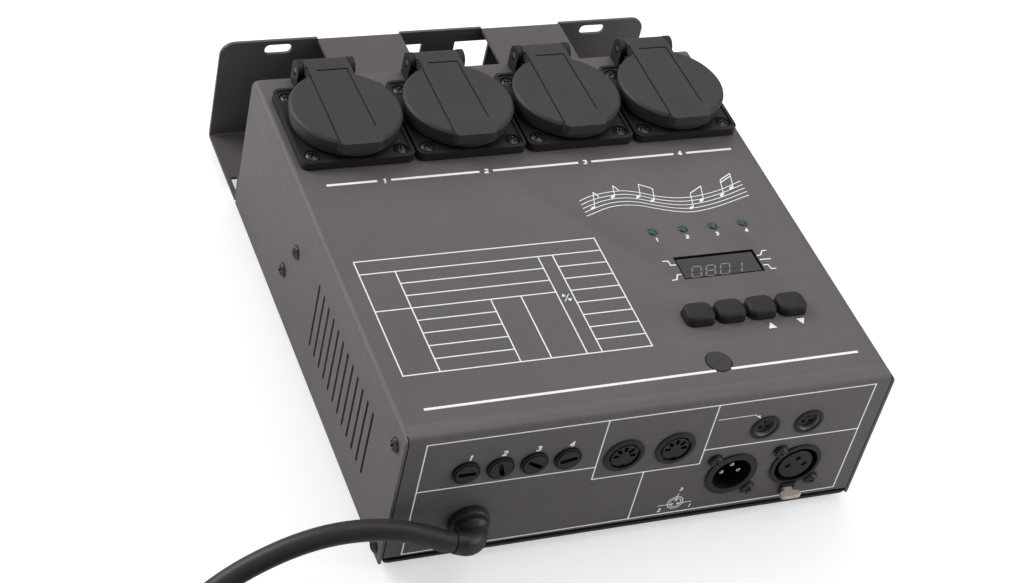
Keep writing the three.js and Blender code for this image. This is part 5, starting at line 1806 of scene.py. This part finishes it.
    def ear_screws(self, name: str, place: Matrix) -> None:
        """Puts a screw on each ear.

        Args:
            name: The socket's name.
            place: The socket's place on the front panel.
        """
        for number, side in enumerate((1, -1), 1):
            spot = shift(-side * self.ear_reach, side * self.ear_reach, 1.0)
            self.shop.screw(f"{name}_screw_{number}", place @ spot, *self.screw, turn=35.0 * number)

    def make_plug_socket(self) -> None:
        """Makes the three-pole socket with pins."""
        place = Facing.FRONT.at(self.poles[0], 0, self.pole_height)
        self.shop.make("control_in_body", lathe([*self.bezel, *self.plug_well], 96), CONNECTOR_NYLON,
                       place=place, slot="connector_plastic", replaces=("control_in_socket",), sharp=40,
                       steps=[(Change.JOIN, self.ears())])
        pins = together(lathe(self.pin, 32).moved(shift(x, y, 0)) for x, y in self.pole_spots())
        self.shop.make("control_in_pins", pins, NICKEL, place=place, slot="bare_steel")
        self.ear_screws("control_in", place)

    def make_hole_socket(self) -> None:
        """Makes the three-pole socket with holes."""
        place = Facing.FRONT.at(self.poles[1], 0, self.pole_height)
        shelf = block((-3.4, -17.4, 0.3), (3.4, -10.2, 1.0))
        slot = block((-2.5, -16.2, -20), (2.5, -13.6, 8))
        holes = [disc(1.4, -9.5, CLEAR, x, y, 32) for x, y in self.pole_spots()]
        self.shop.make("control_out_body", lathe([*self.bezel, *self.hole_well], 96), CONNECTOR_NYLON,
                       place=place, slot="connector_plastic", replaces=("control_out_socket",), sharp=40,
                       steps=[(Change.JOIN, self.ears()), (Change.JOIN, [shelf]), (Change.CUT, holes),
                              (Change.CUT, [slot])])
        cups = together(lathe(self.cup, 24, True).moved(shift(x, y, 0)) for x, y in self.pole_spots())
        self.shop.make("control_out_contacts", cups, TINNED, place=place, slot="bare_steel")
        self.ear_screws("control_out", place)

    def make_latch(self) -> None:
        """Makes the release latch under the socket with holes."""
        low = self.pole_height - self.latch_drop - self.latch_thick
        half, near, far = self.latch_neck
        head = shifted(rounded(*self.latch_head, 8), 0, near - self.latch_head[1] / 2)
        right = sorted((point for point in head if point[0] > 0), key=lambda point: point[1])
        left = sorted((point for point in head if point[0] < 0), key=lambda point: -point[1])
        outline = [*right, (half, near), (half, far), (-half, far), (-half, near), *left]
        self.shop.make("latch_tab", prism(outline, low, low + self.latch_thick), LATCH_METAL,
                       Body.LATCH.value, place=shift(self.poles[1], 0, 0), bevel=0.5, segments=4,
                       slot="bare_steel", replaces=("release_latch",))


# Print


@dataclass
class PrintedGraphics(Assembly):
    """The white print on the top and the front: lines, a table, a stave and plain numbers."""

    # Heavy lines, fine lines and the ink's thickness.
    thick: float = 1.25
    thin: float = 0.55
    film: float = 0.04
    # Numbers: their strokes, lean and stroke width in shares of the height, about the middle.
    strokes: dict[str, tuple[Line2, ...]] = field(default_factory=lambda: {
        "1": (((-0.16, 0.26), (0.05, 0.42)), ((0.05, 0.5), (0.05, -0.5))),
        "2": (((-0.29, 0.24), (-0.17, 0.38), (0.1, 0.39), (0.23, 0.26), (0.21, 0.08), (-0.28, -0.38)),
              ((-0.36, -0.39), (0.34, -0.39))),
        "3": (((-0.28, 0.29), (-0.14, 0.39), (0.1, 0.39), (0.22, 0.25), (0.18, 0.09), (-0.06, 0.04)),
              ((-0.06, 0.02), (0.18, -0.03), (0.25, -0.2), (0.12, -0.37), (-0.14, -0.39), (-0.3, -0.28))),
        "4": (((0.12, 0.5), (0.12, -0.5)), ((0.1, 0.42), (-0.3, -0.14)), ((-0.38, -0.2), (0.34, -0.2)))})
    lean: float = 0.2
    stroke: float = 0.23
    # Numbers before the sockets, and the line between them with its gaps beside each.
    channels: Line2 = ((38.8, 148.4), (86.3, 149.1), (133.9, 149.3), (181.5, 149.8))
    channel_ends: tuple[Point2, Point2] = ((12.5, 148.6), (207.6, 149.7))
    channel_gaps: Point2 = (3.0, 3.4)
    lamp_numbers: Line2 = ((146.9, 95.4), (161.6, 95.4), (176.3, 95.4), (191.0, 95.8))
    # Lines near the front edge, lines at the display and triangles at the keys.
    rules: tuple[Line2, ...] = (((12.2, 15.2), (140.2, 15.9)), ((147.2, 16.0), (207.5, 16.4)))
    branches: tuple[Line2, ...] = (
        ((143.6, 81.9), (146.3, 81.8), (146.5, 79.0), (149.0, 79.0)),
        ((143.3, 70.0), (145.6, 70.1), (147.0, 72.9), (149.0, 72.9)),
        ((188.6, 79.4), (190.5, 79.5), (192.2, 82.0), (194.4, 82.0)),
        ((188.8, 76.7), (194.1, 76.6)),
        ((188.9, 73.2), (191.1, 73.2), (191.6, 70.5), (193.9, 70.4)))
    arrows: tuple[Line2, ...] = (
        ((174.1, 35.6), (178.1, 35.7), (176.2, 39.1)), ((188.8, 39.3), (190.8, 35.9), (192.8, 39.4)))
    # Settings table: left, right, top, head and low edge, and its upright lines.
    table: tuple[float, float, float, float, float] = (9.7, 118.8, 100.4, 92.7, 34.0)
    columns: Row = (25.4, 60.1, 73.6, 89.5, 96.2)
    # Stave: its upper and lower line, and the notes' heads and the tips of their stems.
    stave_high: Line2 = (
        (121.3, 124.3), (128.7, 127.1), (141.4, 128.5), (149.3, 126.9), (158.7, 122.7), (167.6, 120.5),
        (176.3, 120.4), (188.6, 122.7), (202.5, 127.6))
    stave_low: Line2 = (
        (120.9, 114.4), (134.4, 118.8), (145.8, 118.4), (155.3, 114.8), (163.8, 111.8), (172.0, 110.7),
        (184.1, 112.6), (202.3, 117.9))
    heads: Line2 = (
        (125.7, 119.1), (137.7, 125.0), (149.6, 123.7), (155.1, 120.2), (171.4, 113.3), (178.2, 117.4),
        (189.4, 119.6), (196.0, 123.7))
    tips: Line2 = (
        (129.7, 129.2), (140.5, 132.3), (152.9, 131.6), (158.4, 127.9), (174.9, 122.7), (181.9, 126.7),
        (192.9, 129.5), (199.5, 133.2))
    # Front panel: its lines, the numbers over the fuses, and a line with an arrow head.
    front_lines: tuple[tuple[Point2, Point2], ...] = (
        ((9.3, 4.2), (9.3, 68.7)), ((209.3, 5.1), (209.3, 69.2)), ((9.1, 68.5), (209.5, 69.2)),
        ((9.1, 4.2), (209.5, 5.1)), ((9.4, 41.3), (86.7, 41.3)), ((86.7, 68.6), (86.7, 33.9)),
        ((86.5, 33.9), (136.2, 33.9)), ((136.0, 33.9), (136.0, 69.0)), ((136.0, 42.2), (209.3, 42.2)),
        ((110.3, 33.9), (110.3, 4.6)))
    fuse_numbers: tuple[Row, float] = ((29.4, 43.9, 58.5, 73.0), 57.7)
    pointer: tuple[Line2, Line2] = (
        ((137.6, 59.9), (155.0, 60.0), (156.8, 58.3)), ((156.2, 59.0), (157.9, 57.3), (157.3, 59.4)))
    # Drawing that numbers the poles.
    key_place: Point2 = (130.8, 10.8)
    key_numbers: tuple[tuple[str, Point2], ...] = (
        ("1", (138.4, 7.4)), ("2", (124.2, 7.3)), ("3", (131.6, 19.0)))

    def build(self) -> None:
        """Prints both panels."""
        self.print_top()
        self.print_front()

    def line(self, width: float, *points: Point2) -> Shell:
        """Returns a printed line through points of a panel."""
        return ribbon(points, width, 0.0, self.film)

    def number(self, text: str, size: float, x: float, y: float) -> Shell:
        """Returns a printed number.

        Args:
            text: The number.
            size: Height of the type.
            x: Place of its middle.
            y: Place of its middle.

        Returns:
            Its strokes.
        """
        shells = []
        for layer, stroke in enumerate(self.strokes[text]):
            points = [(x + size * (a + self.lean * b), y + size * b) for a, b in stroke]
            shells.append(ribbon(points, self.stroke * size, 0.0, self.film + 0.004 * layer))
        return together(shells)

    def row_of_numbers(self, size: float, places: Iterable[Point2]) -> list[Shell]:
        """Returns the numbers from one upwards, each about its place."""
        return [self.number(str(i), size, x, y) for i, (x, y) in enumerate(places, 1)]

    def print_top(self) -> None:
        """Prints the top panel."""
        shells = [*self.row_of_numbers(2.9, self.channels), *self.broken_line(),
                  *self.row_of_numbers(2.3, self.lamp_numbers),
                  *(self.line(self.thick, *points) for points in self.rules),
                  *(self.line(self.thin, *points) for points in self.branches),
                  *(prism(points, 0, self.film) for points in self.arrows),
                  *self.settings_table(), *self.stave()]
        self.shop.make("top_print", together(shells), PRINT_INK, slot="cover_paint",
                       place=shift(0, 0, self.shop.space.size.z + 0.01))

    def broken_line(self) -> list[Shell]:
        """Draws the heavy line before the sockets.

        Returns:
            Its parts, which leave room for the channels' numbers.
        """
        (first, low), (last, high) = self.channel_ends
        behind, before = self.channel_gaps
        width = self.shop.space.size.x
        starts = [first, *(x + behind for x, _ in self.channels)]
        stops = [*(x - before for x, _ in self.channels), last]
        return [self.line(self.thick, *((x, low + (high - low) * x / width) for x in span))
                for span in zip(starts, stops)]

    def settings_table(self) -> list[Shell]:
        """Draws the settings table.

        Returns:
            Its lines and the small sign in one of its cells.
        """
        left, right, top, head, low = self.table
        a, b, c, d, e = self.columns
        rows = [head - (head - low) * i / 8 for i in range(9)]
        half = self.thin / 2
        upright = [(left, top), (right, top), (a, head), (b, rows[3]), (c, rows[3]), (d, head), (e, head)]
        shells = [self.line(self.thin, (x, low - half), (x, high + half)) for x, high in upright]
        flat = [(left, right, top), (left, right, head), (left, right, low)]
        flat += [(a, d, rows[i]) for i in (1, 2, 3)] + [(a, b, rows[i]) for i in (4, 5, 6, 7)]
        flat += [(e, right, rows[i]) for i in range(1, 8)] + [(left, a, rows[3])]
        shells += [self.line(self.thin, (start, y), (stop, y)) for start, stop, y in flat]
        middle = (rows[3] + rows[4]) / 2
        for arrow in (((91.0, 0.6), (92.9, 0.6), (91.95, 2.3)), ((92.9, -0.9), (93.9, -2.6), (94.9, -0.9))):
            shells.append(prism([(x, middle + y) for x, y in arrow], 0, self.film))
        shells.append(self.line(0.3, (91.4, middle - 2.3), (94.6, middle + 1.9)))
        return shells

    def stave(self) -> list[Shell]:
        """Draws the wavy stave and its notes.

        Returns:
            Five lines, and the heads, stems, beams and flags of the notes.
        """
        upper, lower = (smooth_line([(*point, 0) for point in points], 1.6)
                        for points in (self.stave_high, self.stave_low))
        last = min(len(upper), len(lower)) - 1
        shells = []
        for row in range(5):
            points = [upper[round(i * (len(upper) - 1) / last)].lerp(
                lower[round(i * (len(lower) - 1) / last)], row / 4) for i in range(last + 1)]
            fine = smooth_line(points[::3] + [points[-1]], 1.5)
            shells.append(self.line(0.38, *((point.x, point.y) for point in fine)))
        for (x, y), tip in zip(self.heads, self.tips):
            oval = [(x + 1.175 * a + 0.30 * b, y + 0.85 * b + 0.35 * a)
                    for a, b in arc((0, 0), 1, 0, 345, 23)]
            shells += [prism(oval, 0, self.film), self.line(0.36, (x + 1.1, y + 0.3), tip)]
        beams = [(self.tips[i], self.tips[i + 1]) for i in (2, 4, 6)]
        beams.append(tuple((x - 0.4, y - 1.7) for x, y in self.tips[6:]))
        flags = [((x, y), (x + 1.0, y - 2.0), (x + 1.6, y - 3.4)) for x, y in self.tips[:2]]
        return shells + [self.line(0.5, *points) for points in (*beams, *flags)]

    def print_front(self) -> None:
        """Prints the front panel."""
        places, height = self.fuse_numbers
        shaft, tip = self.pointer
        shells = [*(self.line(self.thin, *points) for points in self.front_lines),
                  *self.row_of_numbers(2.9, ((x, height) for x in places)), *self.pole_key(),
                  self.line(0.35, *shaft), prism(tip, 0, self.film)]
        self.shop.make("front_print", together(shells), PRINT_INK, slot="cover_paint",
                       place=Facing.FRONT.at(0, -0.01, 0))

    def pole_key(self) -> list[Shell]:
        """Draws the small key that numbers the three poles.

        Returns:
            Two rings, three dots, their leaders and the numbers.
        """
        x, y = self.key_place
        shells = [self.line(width, *arc((x, y), radius, 0, 360, 40))
                  for width, radius in ((0.32, 3.6), (0.28, 2.6))]
        spots = ((x, y + 1.5), (x - 1.35, y - 0.8), (x + 1.35, y - 0.8))
        shells += [prism(arc(spot, 0.55, 0, 345, 23), 0, self.film) for spot in spots]
        leaders = (((x, y + 2.1), (x + 0.3, y + 5.6)), ((x - 2.0, y - 0.8), (122.6, y - 0.7)),
                   ((x + 2.0, y - 0.8), (138.6, y - 0.7)))
        shells += [self.line(0.3, *points) for points in leaders]
        return shells + [self.number(text, 2.0, *spot) for text, spot in self.key_numbers]


@dataclass
class Inside(Assembly):
    """What stands inside the case and shows only through the vents.

    Args:
        finishes: The nodes and their finishes.
    """

    finishes: tuple[tuple[str, Finish], ...] = (
        ("control_board", BOARD), ("main_board", BOARD), ("digit_module", CONNECTOR_NYLON),
        ("heat_sink", ALUMINIUM), ("transformer", LAMINATION), ("terminal_block", CONNECTOR_NYLON),
        ("strain_relief_nut", CONNECTOR_NYLON), *((f"choke_{i}", ENAMELLED_COPPER) for i in range(1, 5)))

    def build(self) -> None:
        """Gives each inner piece its finish."""
        for node, finish in self.finishes:
            self.shop.dress(node, finish)


def main() -> None:
    """Builds the studio and the object's sub-assemblies, and reports each piece."""
    logging.basicConfig(level=logging.INFO, format="%(message)s")
    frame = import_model()
    LOG.info("frame has %d nodes", len(frame["nodes"]))
    space = CaseSpace.from_frame()
    studio = Studio(space)
    studio.make_camera()
    shop = Workshop(space)
    MainsLead(shop).build()
    sockets, panel, front = MainsSockets(shop), ControlPanel(shop), FrontPanel(shop)
    CaseShell(shop, panels=(sockets.holes(), panel.holes(), front.holes())).build()
    sockets.build()
    panel.build()
    front.build()
    PrintedGraphics(shop).build()
    Inside(shop).build()
    studio.make_lights()
    studio.make_floor()


if __name__ == "__main__":
    main()
